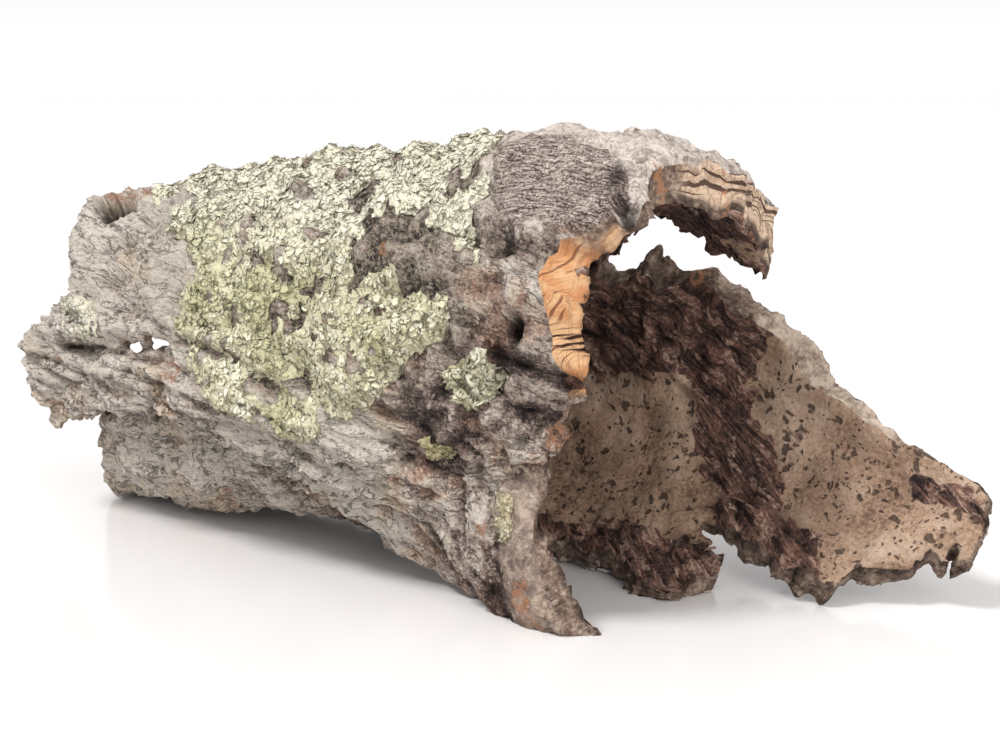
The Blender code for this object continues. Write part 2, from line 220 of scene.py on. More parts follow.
# The sheet is a tube along X, in millimetres and degrees: 0 at the back, 90 on top, 180 in front, -90 below.
tube = {
    "stations": (-190, -150, -100, -60, -25, 20, 70, 98, 118, 150, 196),
    "centreY": (15, 12, 8, 6, 4, 2, 0, 0, 1, 3, 8),
    "centreZ": (61, 63, 67, 70, 72, 74, 75, 75, 75, 75, 75),
    "around": (-160, -140, -115, -90, -45, 0, 45, 90, 125, 150, 180, 210, 235, 252),
    "radii": (
        (44, 48, 57, 61, 60, 58, 58, 60, 58, 52, 48, 48, 50, 50),
        (47, 50, 60, 63, 64, 62, 64, 66, 66, 58, 54, 54, 54, 54),
        (49, 53, 61, 63, 68, 66, 68, 72, 68, 61, 58, 60, 60, 60),
        (50, 55, 61, 62, 69, 67, 69, 75, 69, 62, 59, 61, 62, 64),
        (52, 58, 62, 65, 70, 68, 71, 78, 71, 63, 59, 61, 65, 72),
        (56, 64, 68, 72, 70, 68, 73, 84, 76, 65, 58, 60, 73, 78),
        (60, 68, 74, 76, 71, 67, 75, 90, 81, 67, 57, 60, 93, 98),
        (60, 70, 76, 77, 71, 66, 72, 88, 81, 68, 56, 60, 98, 100),
        (60, 70, 76, 77, 71, 64, 67, 78, 71, 66, 56, 60, 98, 100),
        (60, 70, 77, 80, 69, 60, 63, 70, 70, 62, 56, 60, 94, 98),
        (60, 70, 76, 76, 66, 57, 60, 64, 64, 60, 56, 60, 90, 94),
    ),
    "middle": (5.3, 8.0),  # where the outline's middle lies, which is the origin
    "innerLimit": 5.0,
    "frontEdge": (
        (-190, 216), (-150, 205), (-125, 196), (-100, 196), (-76, 203), (-57, 209), (-36, 220),
        (-20, 230), (0, 242), (18, 249), (39, 246), (56, 241), (77, 238), (196, 238),
    ),
    "bottomEdge": (
        (-190, -139), (-150, -150), (-125, -159), (-100, -159), (-76, -152), (-57, -146), (-36, -135),
        (-20, -126), (-6, -117), (8, -111), (20, -107), (32, -105), (46, -104), (66, -102), (93, -98),
        (196, -97),
    ),
    "rightEnd": (
        (-97, 140), (-85, 147), (-76, 151), (-70, 157), (-66, 168), (-61, 187),
        (-53, 193), (-45, 196), (-37, 193), (-30, 181), (-22, 163), (-13, 150), (-5, 137), (7, 128),
        (19, 118), (25, 108), (31, 96), (36, 106), (41, 113), (50, 114), (58, 118), (66, 116),
        (75, 118), (86, 118), (95, 113), (103, 106), (110, 103), (116, 105), (120, 105), (123, 100),
        (127, 91), (131, 80), (139, 78), (146, 80), (153, 83), (162, 85), (171, 86), (180, 84), (192, 81),
        (202, 77), (214, 74), (221, 75), (226, 80), (231, 86), (236, 89), (252, 90),
    ),
    "leftEnd": (
        (-159, -148), (-145, -151), (-125, -157), (-105, -168), (-90, -174), (-75, -171), (-60, -160),
        (-45, -163), (-30, -170), (-15, -160), (0, -157), (20, -164), (40, -158), (60, -149), (80, -154),
        (97, -160), (112, -161), (124, -158), (135, -156), (145, -152), (152, -163), (163, -178),
        (174, -185), (186, -183), (196, -177), (206, -172), (216, -160),
    ),
    "thickness": (
        (-160, 7), (-110, 9), (-60, 9), (-30, 8), (0, 9), (40, 13), (65, 17), (90, 16), (125, 15),
        (150, 12), (172, 8), (200, 8), (222, 8), (236, 11), (252, 11),
    ),
    "swellings": (  # x, angle, half length, half width in degrees, height
        (-146, 118, 17, 15, 8.0), (-141, 119, 9, 9, -13.0), (-176, 180, 12, 14, 3.0),
        (-133, 172, 20, 4, -5.0), (-118, 148, 26, 8, -3.0), (-80, 190, 46, 9, 4.0), (-8, 205, 34, 10, 3.5),
        (62, 108, 26, 16, 3.5), (45, 158, 16, 12, -3.5), (70, 190, 12, 26, 2.5), (40, 190, 14, 22, -3.0),
        (-20, 60, 30, 16, 4.0), (30, 20, 26, 18, -4.0), (-100, 20, 32, 20, 4.0), (90, -20, 40, 12, 3.0),
    ),
    "outerLumps": ((46, 30, 3.6, 11), (24, 14, 2.6, 12)),
    "innerLumps": ((40, 30, 1.8, 21), (18, 15, 0.9, 22)),
    "topNotch": (
        ((43, 31), (43, 35)), ((52, 28), (52, 44)), ((55, 33), (55, 47)), ((61, 36), (61, 51)),
        ((67, 34), (67, 57)), ((71, 30), (74, 62)), ((79, 29), (80, 56)), ((86, 27), (87, 46)),
        ((94, 25), (94, 42)), ((105, 22), (105, 41)), ((122, 16), (122, 41)),
    ),
    "thinLip": (106, 120, 20, 11, 8.5),
    "edgeSlope": (  # how far the inner rim stands beyond the outer one along x: angle, reach
        (-160, 0), (-40, 0), (-22, -3), (-8, -8), (20, -8), (32, -3), (42, 0), (70, 0),
        (100, 0), (116, 0), (126, 4), (131, 10), (145, 10), (150, 8), (157, 9), (166, 6), (175, 1), (184, 0),
        (216, 0), (226, 4), (236, 6), (252, 3),
    ),
    "slopeReach": (40, 78),
    "bottomNotch": (
        ((92, -59), (98, -59)), ((95, -64), (107, -63)), ((100, -69), (117, -68)), ((105, -74), (128, -73)),
        ((107, -79), (152, -78)), ((105, -85), (162, -86)), ((101, -91), (162, -94)),
        ((91, -100), (162, -106)),
    ),
    "slitBay": (
        ((2, -115), (2, -112)), ((8, -112), (8, -103)), ((20, -109), (20, -92)), ((32, -108), (32, -84)),
        ((46, -108), (46, -80)), ((66, -106), (66, -83)), ((80, -103), (80, -89)), ((97, -102), (97, -98)),
    ),
    "holes": (((-117, 169), (-112, 169), 1.9), ((-104, 167), (-96, 166), 2.5)),  # both ends, radius
}
mm = 0.001
mmPerDegree = 1.13
perSquareCm = 1e4
cornerFills, rimSlides, gridSmoothings = 4, 3, 4


def smoothStep(value, low, high):
    share = np.clip((value - low) / (high - low), 0, 1)
    return share * share * (3 - 2 * share)


def hill(value, riseFrom, riseTo, fallFrom, fallTo):
    return smoothStep(value, riseFrom, riseTo) * smoothStep(fallTo - value, 0, fallTo - fallFrom)


def onAngles(name, angle):
    return hill(angle, *bark["angles"][name])


def cubic(width, share, first, last, firstSlope, lastSlope):
    square, cube = share**2, share**3
    return ((2 * cube - 3 * square + 1) * first + (cube - 2 * square + share) * width * firstSlope
            + (3 * square - 2 * cube) * last + (cube - square) * width * lastSlope)


def curveAt(table, where):
    places, values = np.array(table, float).T
    slopes = np.gradient(values, places)
    where = np.clip(where, places[0], places[-1])
    left = np.clip(np.searchsorted(places, where, side="right") - 1, 0, len(places) - 2)
    width = places[left + 1] - places[left]
    share = (where - places[left]) / width
    return cubic(width, share, values[left], values[left + 1], slopes[left], slopes[left + 1])


def alongTube(values, x):
    return curveAt(list(zip(tube["stations"], values)), x)


def outerRadius(x, angle):
    rows = np.stack([alongTube(column, x) for column in zip(*tube["radii"])], -1)
    angles = np.array(tube["around"], float)
    slopes = np.gradient(rows, angles, axis=-1)
    angle = np.clip(angle, angles[0], angles[-1])
    left = np.clip(np.searchsorted(angles, angle, side="right") - 1, 0, len(angles) - 2)
    width = angles[left + 1] - angles[left]
    share = (angle - angles[left]) / width

    def pick(table, index):
        return np.take_along_axis(table, index[..., None], -1)[..., 0]

    ends = [pick(table, index) for table in (rows, slopes) for index in (left, left + 1)]
    return cubic(width, share, *ends)


# Seeded smooth noise over the sheet, the same as the solids' own where the steps and seed are the same.
def lumps(x, angle, stepX, stepAngle, height, seed, table=(90, 120)):
    turns = np.random.default_rng(seed).uniform(0, 2 * np.pi, table)
    across, roundIt = (x + 260) / stepX, (angle + 200) / stepAngle
    i, j = np.floor(across).astype(int), np.floor(roundIt).astype(int)
    f, g = across - i, roundIt - j

    def corner(a, b):
        turn = turns[(i + a) % table[0], (j + b) % table[1]]
        return np.cos(turn) * (f - a) + np.sin(turn) * (g - b)

    easeF, easeG = smoothStep(f, 0, 1), smoothStep(g, 0, 1)
    low = corner(0, 0) + easeF * (corner(1, 0) - corner(0, 0))
    high = corner(0, 1) + easeF * (corner(1, 1) - corner(0, 1))
    return 1.5 * height * (low + easeG * (high - low))


def fineLumps(x, angle, stepX, stepAngle, height, seed):
    return lumps(x, angle, stepX, stepAngle, height, seed, (260, 260))


def swelling(x, angle, middle, turn, length, width, height):
    return height * np.exp(-(((x - middle) / length) ** 2) - ((angle - turn) / width) ** 2)


def outerRelief(x, angle):
    swollen = sum(swelling(x, angle, *row) for row in tube["swellings"])
    return sum(lumps(x, angle, *row) for row in tube["outerLumps"]) + swollen


def innerRelief(x, angle):
    thickness = curveAt(tube["thickness"], angle) + sum(lumps(x, angle, *row) for row in tube["innerLumps"])
    relief = np.minimum(outerRelief(x, angle), tube["innerLimit"]) - thickness
    return relief + swelling(x, angle, *tube["thinLip"])


def pointAt(x, angle, rise):
    radius = outerRadius(x, angle) + rise
    turn = np.radians(angle)
    y = alongTube(tube["centreY"], x) + radius * np.cos(turn)
    z = alongTube(tube["centreZ"], x) + radius * np.sin(turn)
    return np.stack([x - tube["middle"][0], y - tube["middle"][1], z], -1)


def segmentDistance(px, py, ax, ay, bx, by):
    stepX, stepY = bx - ax, by - ay
    share = np.clip(((px - ax) * stepX + (py - ay) * stepY) / (stepX**2 + stepY**2), 0, 1)
    return np.hypot(px - ax - share * stepX, py - ay - share * stepY)


def spotDistance(x, angle, middle, turn):
    return np.hypot(x - middle, (angle - turn) * mmPerDegree)


# How far each place lies inside a closed outline of (x, angle) corners, in millimetres, negative outside.
def depthInside(corners, x, angle):
    px, py = x, angle * mmPerDegree
    corners = np.array(corners, float) * (1, mmPerDegree)
    nearest = np.full(np.shape(px), 1e9)
    within = np.zeros(np.shape(px), bool)
    for (ax, ay), (bx, by) in zip(corners, np.roll(corners, -1, 0)):
        nearest = np.minimum(nearest, segmentDistance(px, py, ax, ay, bx, by))
        if ay != by:
            within ^= ((ay > py) != (by > py)) & (px < (bx - ax) * (py - ay) / (by - ay) + ax)
    return np.where(within, nearest, -nearest)


# Distance to an open line of (x, angle) points.
def lineDistance(points, x, angle):
    px, py = x, angle * mmPerDegree
    nearest = np.full(np.shape(px), 1e9)
    points = np.array(points, float) * (1, mmPerDegree)
    for (ax, ay), (bx, by) in zip(points[:-1], points[1:]):
        nearest = np.minimum(nearest, segmentDistance(px, py, ax, ay, bx, by))
    return nearest


# Keeps the largest group of cells and fills cells that meet only at a corner.
def tidyCells(keep):
    for _ in range(cornerFills):
        a, b, c, d = keep[:-1, :-1], keep[1:, :-1], keep[:-1, 1:], keep[1:, 1:]
        rising, falling = a & d & ~b & ~c, b & c & ~a & ~d
        if not (rising.any() or falling.any()):
            break
        keep[1:, :-1] |= rising
        keep[:-1, :-1] |= falling
    label = np.where(keep, np.arange(keep.size).reshape(keep.shape) + 1, 0)
    while True:
        grown = label.copy()
        grown[1:] = np.maximum(grown[1:], label[:-1])
        grown[:-1] = np.maximum(grown[:-1], label[1:])
        grown[:, 1:] = np.maximum(grown[:, 1:], grown[:, :-1])
        grown[:, :-1] = np.maximum(grown[:, :-1], grown[:, 1:])
        grown = np.where(keep, grown, 0)
        if (grown == label).all():
            break
        label = grown
    names, sizes = np.unique(label[keep], return_counts=True)
    return label == names[np.argmax(sizes)]


# A closed mesh over the part of the sheet that lies inside an outline: an outer face, an inner face and a rim
# of several rows. It returns its points with their place on the sheet, so that zones can be painted on it.
def sheetMesh(make, outline, outerRise, innerRise, rimShift, slide=None):
    lowX, highX, lowAngle, highAngle = make["region"]
    countX = int(round((highX - lowX) / make["cell"][0]))
    countAngle = int(round((highAngle - lowAngle) / make["cell"][1]))
    along = np.linspace(lowX, highX, countX + 1)
    around = np.linspace(lowAngle, highAngle, countAngle + 1)
    x, angle = np.meshgrid(along, around, indexing="ij")
    keep = tidyCells(outline((x[1:, 1:] + x[:-1, 1:]) / 2, (angle[1:, 1:] + angle[1:, :-1]) / 2) > 0)
    keep[0], keep[-1], keep[:, 0], keep[:, -1] = False, False, False, False
    touching = np.zeros(x.shape, int)
    for a in (0, 1):
        for b in (0, 1):
            touching[a:countX + a, b:countAngle + b] += keep
    rim, full = (touching > 0) & (touching < 4), touching == 4

    limit = 0.9 * make["cell"][0]
    rimX, rimAngle = x[rim], angle[rim]
    for _ in range(rimSlides):
        slopeX = outline(rimX + 0.5, rimAngle) - outline(rimX - 0.5, rimAngle)
        slopeAngle = (outline(rimX, rimAngle + 0.5) - outline(rimX, rimAngle - 0.5)) / mmPerDegree
        steep = np.maximum(np.hypot(slopeX, slopeAngle), 0.3)
        step = np.clip(outline(rimX, rimAngle) / steep, -limit, limit) / steep
        rimX = np.clip(rimX - step * slopeX, x[rim] - limit, x[rim] + limit)
        rimAngle = np.clip(rimAngle - step * slopeAngle / mmPerDegree, angle[rim] - limit, angle[rim] + limit)
    x[rim], angle[rim] = rimX, rimAngle
    for _ in range(gridSmoothings):
        for grid in (x, angle):
            mean = (grid[:-2, 1:-1] + grid[2:, 1:-1] + grid[1:-1, :-2] + grid[1:-1, 2:]) / 4
            grid[1:-1, 1:-1] = np.where(full[1:-1, 1:-1], mean, grid[1:-1, 1:-1])
    outX, outAngle = np.zeros(x.shape), np.zeros(x.shape)
    outX[rim], outAngle[rim] = -slopeX / steep, -slopeAngle / steep / mmPerDegree

    rows = make["rimRows"]
    present = np.broadcast_to(rim, (rows + 1, *rim.shape)).copy()
    present[0] = present[-1] = touching > 0
    number = np.full(present.shape, -1)
    number[present] = np.arange(present.sum())
    k, i, j = np.nonzero(present)
    share = k / rows
    atX, atAngle, onRim = x[i, j], angle[i, j], rim[i, j]
    shift = np.where(onRim, rimShift(atX, atAngle, share), 0)
    atX, atAngle = atX + shift * outX[i, j], atAngle + shift * outAngle[i, j]
    inside = np.maximum(outline(x[i, j], angle[i, j]), 0) * ~onRim
    worn = make["rimWear"] * np.exp(-inside / make["rimWear"])
    top, bottom = outerRise(atX, atAngle) - worn, innerRise(atX, atAngle) + worn * 0.6
    rise = top + (bottom - top) * share
    if slide is not None:
        atX = atX + slide(atX, atAngle) * share
    points = pointAt(atX, atAngle, rise)

    ci, cj = np.nonzero(keep)
    outer, inner = number[0], number[-1]
    faces = [np.stack([outer[ci, cj], outer[ci, cj + 1], outer[ci + 1, cj + 1], outer[ci + 1, cj]], -1),
             np.stack([inner[ci, cj], inner[ci + 1, cj], inner[ci + 1, cj + 1], inner[ci, cj + 1]], -1)]
    kinds = [np.zeros(len(ci), int), np.ones(len(ci), int)]
    sides = (  # a cell's two corners at each side, and the cell beyond
        ((0, 0), (0, 1), (-1, 0)), ((0, 1), (1, 1), (0, 1)), ((1, 1), (1, 0), (1, 0)),
        ((1, 0), (0, 0), (0, -1)),
    )
    for first, last, beyond in sides:
        bare = ~keep[ci + beyond[0], cj + beyond[1]]
        a = (ci[bare] + first[0], cj[bare] + first[1])
        b = (ci[bare] + last[0], cj[bare] + last[1])
        for row in range(rows):
            corners = ((row, *b), (row, *a), (row + 1, *a), (row + 1, *b))
            faces.append(np.stack([number[corner] for corner in corners], -1))
            kinds.append(np.full(len(a[0]), 2))
    return {"points": points, "faces": np.concatenate(faces), "kinds": np.concatenate(kinds),
            "x": atX, "angle": atAngle, "share": share, "rim": onRim}


def addPiece(name, parts, materials, zones):
    mesh = bpy.data.meshes.new(name)
    mesh.from_pydata((parts["points"] * mm).tolist(), [], parts["faces"].tolist())
    for material in materials:
        mesh.materials.append(material)
    mesh.polygons.foreach_set("material_index", np.minimum(parts["kinds"], len(materials) - 1))
    mesh.polygons.foreach_set("use_smooth", np.ones(len(parts["faces"]), bool))
    for label, values in zones.items():
        mesh.attributes.new(label, "FLOAT", "POINT").data.foreach_set("value", values.astype(np.float32))
    corner = np.zeros(len(mesh.loops), int)
    mesh.loops.foreach_get("vertex_index", corner)
    onEdge = np.repeat(parts["kinds"] == 2, 4)
    arc = parts["angle"] * mmPerDegree
    flat = np.stack([parts["x"], arc], -1)
    edge = np.stack([parts["x"] + arc, parts["share"] * 12], -1)
    place = np.where(onEdge[:, None], edge[corner], flat[corner]) * mm
    mesh.uv_layers.new(name="sheet").data.foreach_set("uv", place.astype(np.float32).ravel())
    mesh.update()
    return linkObject(name, mesh)


# The colours of the bark's three finishes.
barkColours = {
    "deep": (0.040, 0.029, 0.026), "shadow": (0.150, 0.108, 0.090), "grey": (0.310, 0.232, 0.195),
    "light": (0.540, 0.435, 0.370), "pale": (0.84, 0.75, 0.66), "brown": (0.36, 0.20, 0.125),
    "crust": (0.95, 0.83, 0.74), "crustShade": (0.64, 0.52, 0.46), "dust": (0.60, 0.56, 0.42),
    # The crack colour below is painted shade.
    "tan": (0.66, 0.51, 0.40), "crack": (0.022, 0.016, 0.014), "rust": (0.50, 0.235, 0.12),
    # The pit colour below is the painted shade in deep hollows.
    "pit": (0.016, 0.012, 0.011),
    "inner": (0.375, 0.245, 0.165), "innerPale": (0.50, 0.37, 0.278), "innerShade": (0.165, 0.100, 0.070),
    "strandDark": (0.024, 0.013, 0.012), "strand": (0.130, 0.075, 0.062), "strandRust": (0.28, 0.140, 0.098),
    "strandPale": (0.66, 0.47, 0.38),
    "orange": (0.56, 0.260, 0.115), "honey": (0.66, 0.40, 0.215), "orangeLine": (0.24, 0.095, 0.042),
    "plate": (0.46, 0.36, 0.32), "bandDark": (0.045, 0.018, 0.012), "cut": (0.72, 0.55, 0.41),
    "cutLine": (0.085, 0.050, 0.036),
    "edgeDark": (0.050, 0.034, 0.028), "edge": (0.27, 0.185, 0.140), "edgePale": (0.72, 0.59, 0.48),
}


# The finishes' noise, in waves for each metre, with their roughness and how deep their bump is in metres.
barkTexture = {
    "outer": {"broad": 30.0, "crumbs": 230.0, "grit": 1000.0, "roughness": 0.90, "bump": 0.0034},
    "inner": {"broad": 48.0, "grit": 620.0, "roughness": 0.84, "bump": 0.0030},
    "edge": {"broad": 130.0, "grit": 700.0, "roughness": 0.86, "bump": 0.0030},
    "crackTurn": -0.20, "strandTurn": 0.75, "edgeTurn": 0.93, "bandTurn": -1.27,  # radians on the sheet
    "pores": ((215.0, 2.8, 0.50), (430.0, 3.0, 0.48)),  # scale, rarity, reach
}


# Broken patches of rusty orange round the painted spots.
def rustShare(n, place):
    spots = n.weigh((n.zone("rust"), 0.34), (n.noise(place, 300.0, 5.0, 0.7), 1.0))
    return n.between(spots, 0.76, 0.90, 0.0, 0.75)


# Grey, furrowed outside: crumbly on the right, long grained on the left, with painted shade in its hollows
# and cracks and painted light on its ridges.
def makeOuterFinish():
    material, n, shader = newMaterial("barkOuter")
    place, texture = n.place(), barkTexture["outer"]
    turn = barkTexture["crackTurn"]
    broad = n.noise(place, texture["broad"], 4.0, 0.6)
    crumbs = n.noise(place, texture["crumbs"], 6.0, 0.72, 0.4)
    grit = n.noise(place, texture["grit"], 4.0, 0.75)
    fibres = n.noise(n.sheet(40.0, 380.0, turn), 1.0, 7.0, 0.70, 0.5)
    grain = n.blend(n.times(n.zone("grain"), 0.8), crumbs, fibres)
    # The relief zone lightens raised bark and darkens furrows: painted light and painted shade.
    tone = n.weigh((grain, 0.60), (grit, 0.38), (broad, 0.15), (n.zone("relief"), 0.075),
                   (n.zone("paleness"), 0.19), (n.zone("tint"), 0.05))
    tone = n.calc("SUBTRACT", tone, 0.078)
    coarse, fine = n.sheet(45.0, 150.0, turn), n.sheet(130.0, 430.0, turn)
    coarseCrack = n.lines(coarse, 5.0, 0.65, 0.5)
    fineCrack = n.lines(fine, 4.0, 0.65, 0.4)
    crack = n.larger(n.between(coarseCrack, 0.003, 0.024, 1.0, 0.0),
                     n.between(fineCrack, 0.002, 0.022, 0.6, 0.0))
    colour = n.ramp(tone, ((0.37, "deep"), (0.435, "shadow"), (0.48, "grey"), (0.54, "light"),
                           (0.63, "pale")))
    warm = n.between(n.noise(place, 42.0, 5.0, 0.6), 0.50, 0.64)
    warmTone = n.mix(0.65, colour, "brown", "OVERLAY")
    colour = n.mix(n.times(warm, 0.75), colour, warmTone)
    # Painted shade in the fine cracks, which exist only as bumps.
    colour = n.mix(n.times(crack, 0.72), colour, "crack")
    plateLines = n.between(n.noise(n.sheet(190.0, 1900.0), 1.0, 6.0, 0.78, 0.6), 0.36, 0.56)
    plateGrit = n.between(grit, 0.36, 0.62)
    # On the plate too the relief zone paints light on raised parts and shade in low ones.
    plateTone = n.weigh((plateGrit, 0.28), (plateLines, 0.27), (broad, 0.45), (n.zone("relief"), 0.10))
    plateStops = ((0.31, "deep"), (0.48, "shadow"), (0.63, "plate"), (0.82, "pale"))
    plateColour = n.ramp(plateTone, plateStops)
    colour = n.mix(n.zone("plate"), colour, plateColour)
    tanLines = n.between(n.noise(n.sheet(60.0, 620.0, 0.78), 1.0, 3.0, 0.5), 0.36, 0.50, 0.45, 1.0)
    tanColour = n.mix(n.times(tanLines, n.between(crumbs, 0.40, 0.58, 0.10, 1.0)), "grey", "tan")
    colour = n.mix(n.times(n.zone("tan"), n.between(broad, 0.36, 0.58, 0.25, 0.78)),
                   colour, tanColour)
    crustNoise = n.weigh((n.noise(place, 150.0, 7.0, 0.74), 1.0), (n.zone("crust"), 0.42))
    crust = n.between(crustNoise, 0.72, 0.84)
    crustColour = n.mix(n.between(n.weigh((grit, 0.5), (crumbs, 0.5)), 0.42, 0.52),
                        "crustShade", "crust")
    # Painted shade in the cracks on the crust too.
    crustColour = n.mix(n.times(crack, 0.55), crustColour, "shadow")
    colour = n.mix(crust, colour, crustColour)
    dustNoise = n.noise(place, 650.0, 5.0, 0.72)
    dust = n.times(n.zone("dust"), n.between(dustNoise, 0.48, 0.60))
    colour = n.mix(dust, colour, "dust")
    colour = n.mix(rustShare(n, place), colour, "rust")
    # Painted shade where the relief sinks deep and in the knot's hollow.
    colour = n.mix(n.zone("cavity"), colour, "pit")
    height = n.weigh((grain, 1.25), (grit, 0.60), (crust, 0.16), (crack, -0.14))
    plateHeight = n.weigh((plateLines, 0.15), (grit, 0.30), (broad, 0.6), (crumbs, 0.4))
    height = n.blend(n.times(n.zone("plate"), 0.65), height, plateHeight)
    smoother = n.weigh((tanLines, 0.16), (grit, 0.40), (crumbs, 0.30))
    height = n.blend(n.times(n.zone("tan"), 0.45), height, smoother)
    n.finish(shader, colour, texture["roughness"], height, texture["bump"])
    return material


# Round and long dark pores of one size class, from the cells of a distorted pattern: painted shade in small
# pits.
def makePores(n, place, scale, rarity, reach):
    pattern = n.add("ShaderNodeTexVoronoi", {"feature": "F1"}, {"Vector": place, "Scale": scale})
    draw = n.add("ShaderNodeSeparateColor", None, {0: pattern.outputs["Color"]}).outputs[0]
    rim = n.times(n.calc("POWER", draw, rarity), reach)
    return n.between(n.calc("SUBTRACT", pattern.outputs["Distance"], rim), -0.12, 0.09, 1.0, 0.0)


# Tan and velvety inside, with pores, and dark stranded wood where the cork has broken away.
def makeInnerFinish():
    material, n, shader = newMaterial("barkInner")
    place, texture = n.place(), barkTexture["inner"]
    turn = barkTexture["strandTurn"]
    broad = n.noise(place, texture["broad"], 5.0, 0.62)
    grit = n.noise(place, texture["grit"], 5.0, 0.72)
    fibres = n.noise(n.sheet(60.0, 380.0, turn), 1.0, 7.0, 0.70, 1.2)
    blur = n.add("ShaderNodeTexNoise", None, {"Vector": place, "Scale": 160.0}).outputs["Color"]
    wobble = n.mix(0.010, place, blur)
    poreShade = n.larger(*(makePores(n, wobble, *row) for row in barkTexture["pores"]))
    tan = n.ramp(n.weigh((broad, 0.55), (grit, 0.45)),
                 ((0.40, "innerShade"), (0.49, "inner"), (0.60, "innerPale")))
    stain = n.between(n.noise(place, 26.0, 6.0, 0.66, 0.8), 0.46, 0.64)
    tan = n.mix(n.times(stain, 0.32), tan, "innerShade")
    # Painted shade in the pores.
    tan = n.mix(n.times(poreShade, 0.78), tan, "strandDark")
    strands = n.ramp(n.weigh((fibres, 0.60), (grit, 0.25), (broad, 0.15), (n.zone("innerRelief"), -0.05)),
                     ((0.42, "strandDark"), (0.49, "strand"), (0.545, "strandRust"), (0.63, "strandPale")))
    darkValue = n.weigh((n.zone("dark"), 0.9), (broad, 1.5), (grit, 0.35))
    dark = n.between(darkValue, 1.16, 1.30)
    # Pale and rusty patches on the dark wood: partly its paler fibres, partly painted highlight.
    paleFibresAndHighlight = n.between(n.noise(n.sheet(60.0, 170.0, turn), 1.0, 6.0, 0.72, 0.8), 0.52, 0.60, 0.0, 0.85)
    strands = n.mix(paleFibresAndHighlight, strands, n.mix(n.between(grit, 0.44, 0.58), "strandRust", "strandPale"))
    colour = n.mix(dark, tan, strands)
    colour = n.mix(rustShare(n, place), colour, "rust")
    # Painted shade in deep hollows, from the same zone as outside.
    colour = n.mix(n.zone("cavity"), colour, "strandDark")
    smoothPart = n.weigh((grit, 0.42), (broad, 1.3), (poreShade, -0.45))
    height = n.blend(dark, smoothPart, n.weigh((fibres, 1.4), (grit, 0.5)))
    n.finish(shader, colour, texture["roughness"], height, texture["bump"])
    return material


# The broken edges: worn and dark, fresh orange cork beside the mouth, a tan cut on the tongue's end.
def makeEdgeFinish():
    material, n, shader = newMaterial("barkEdge")
    place, texture = n.place(), barkTexture["edge"]
    broad = n.noise(place, texture["broad"], 5.0, 0.65)
    grit = n.noise(place, texture["grit"], 5.0, 0.72)
    worn = n.ramp(n.weigh((broad, 0.55), (grit, 0.45), (n.zone("paleness"), 0.15)),
                  ((0.40, "edgeDark"), (0.53, "edge"), (0.68, "edgePale")))
    slanted = n.noise(n.sheet(60.0, 520.0, barkTexture["edgeTurn"]), 1.0, 3.0, 0.55, 0.25)
    lineShare = n.between(n.zone("across"), 0.50, 0.66, 1.0, 0.15)
    freshLines = n.calc("SUBTRACT", 1.0, n.times(lineShare, n.between(slanted, 0.38, 0.48, 1.0, 0.0)))
    honey = n.mix(n.between(broad, 0.40, 0.60), "orange", "honey")
    fresh = n.mix(freshLines, "orangeLine", honey)
    bandNoise = n.noise(n.sheet(30.0, 620.0, barkTexture["bandTurn"]), 1.0, 2.0, 0.5)
    banded = n.mix(n.between(bandNoise, 0.44, 0.52), "bandDark", "honey")
    fresh = n.mix(n.zone("bands"), fresh, banded)
    arcs = n.lines(n.sheet(14.0, 200.0), 3.0, 0.5)
    cracks = n.lines(n.sheet(420.0, 50.0), 3.0, 0.5)
    rings = n.times(n.between(arcs, 0.004, 0.018), n.between(cracks, 0.0, 0.022, 0.45, 1.0))
    cutTone = n.between(n.weigh((grit, 0.6), (broad, 0.4)), 0.36, 0.60)
    cutColour = n.mix(rings, "cutLine", n.mix(cutTone, "inner", "cut"))
    charred = n.times(n.zone("char"), n.between(broad, 0.44, 0.60, 1.0, 0.15))
    colour = n.mix(charred, worn, "edgeDark")
    colour = n.mix(n.zone("cutFace"), colour, cutColour)
    colour = n.mix(n.zone("fresh"), colour, fresh)
    colour = n.mix(rustShare(n, place), colour, "rust")
    rough = n.weigh((broad, 0.8), (grit, 0.6))
    lined = n.weigh((freshLines, 0.10), (rings, 0.12), (grit, 0.22))
    calm = n.larger(n.zone("fresh"), n.zone("cutFace"))
    height = n.blend(calm, rough, lined)
    n.finish(shader, colour, texture["roughness"], height, texture["bump"])
    return material


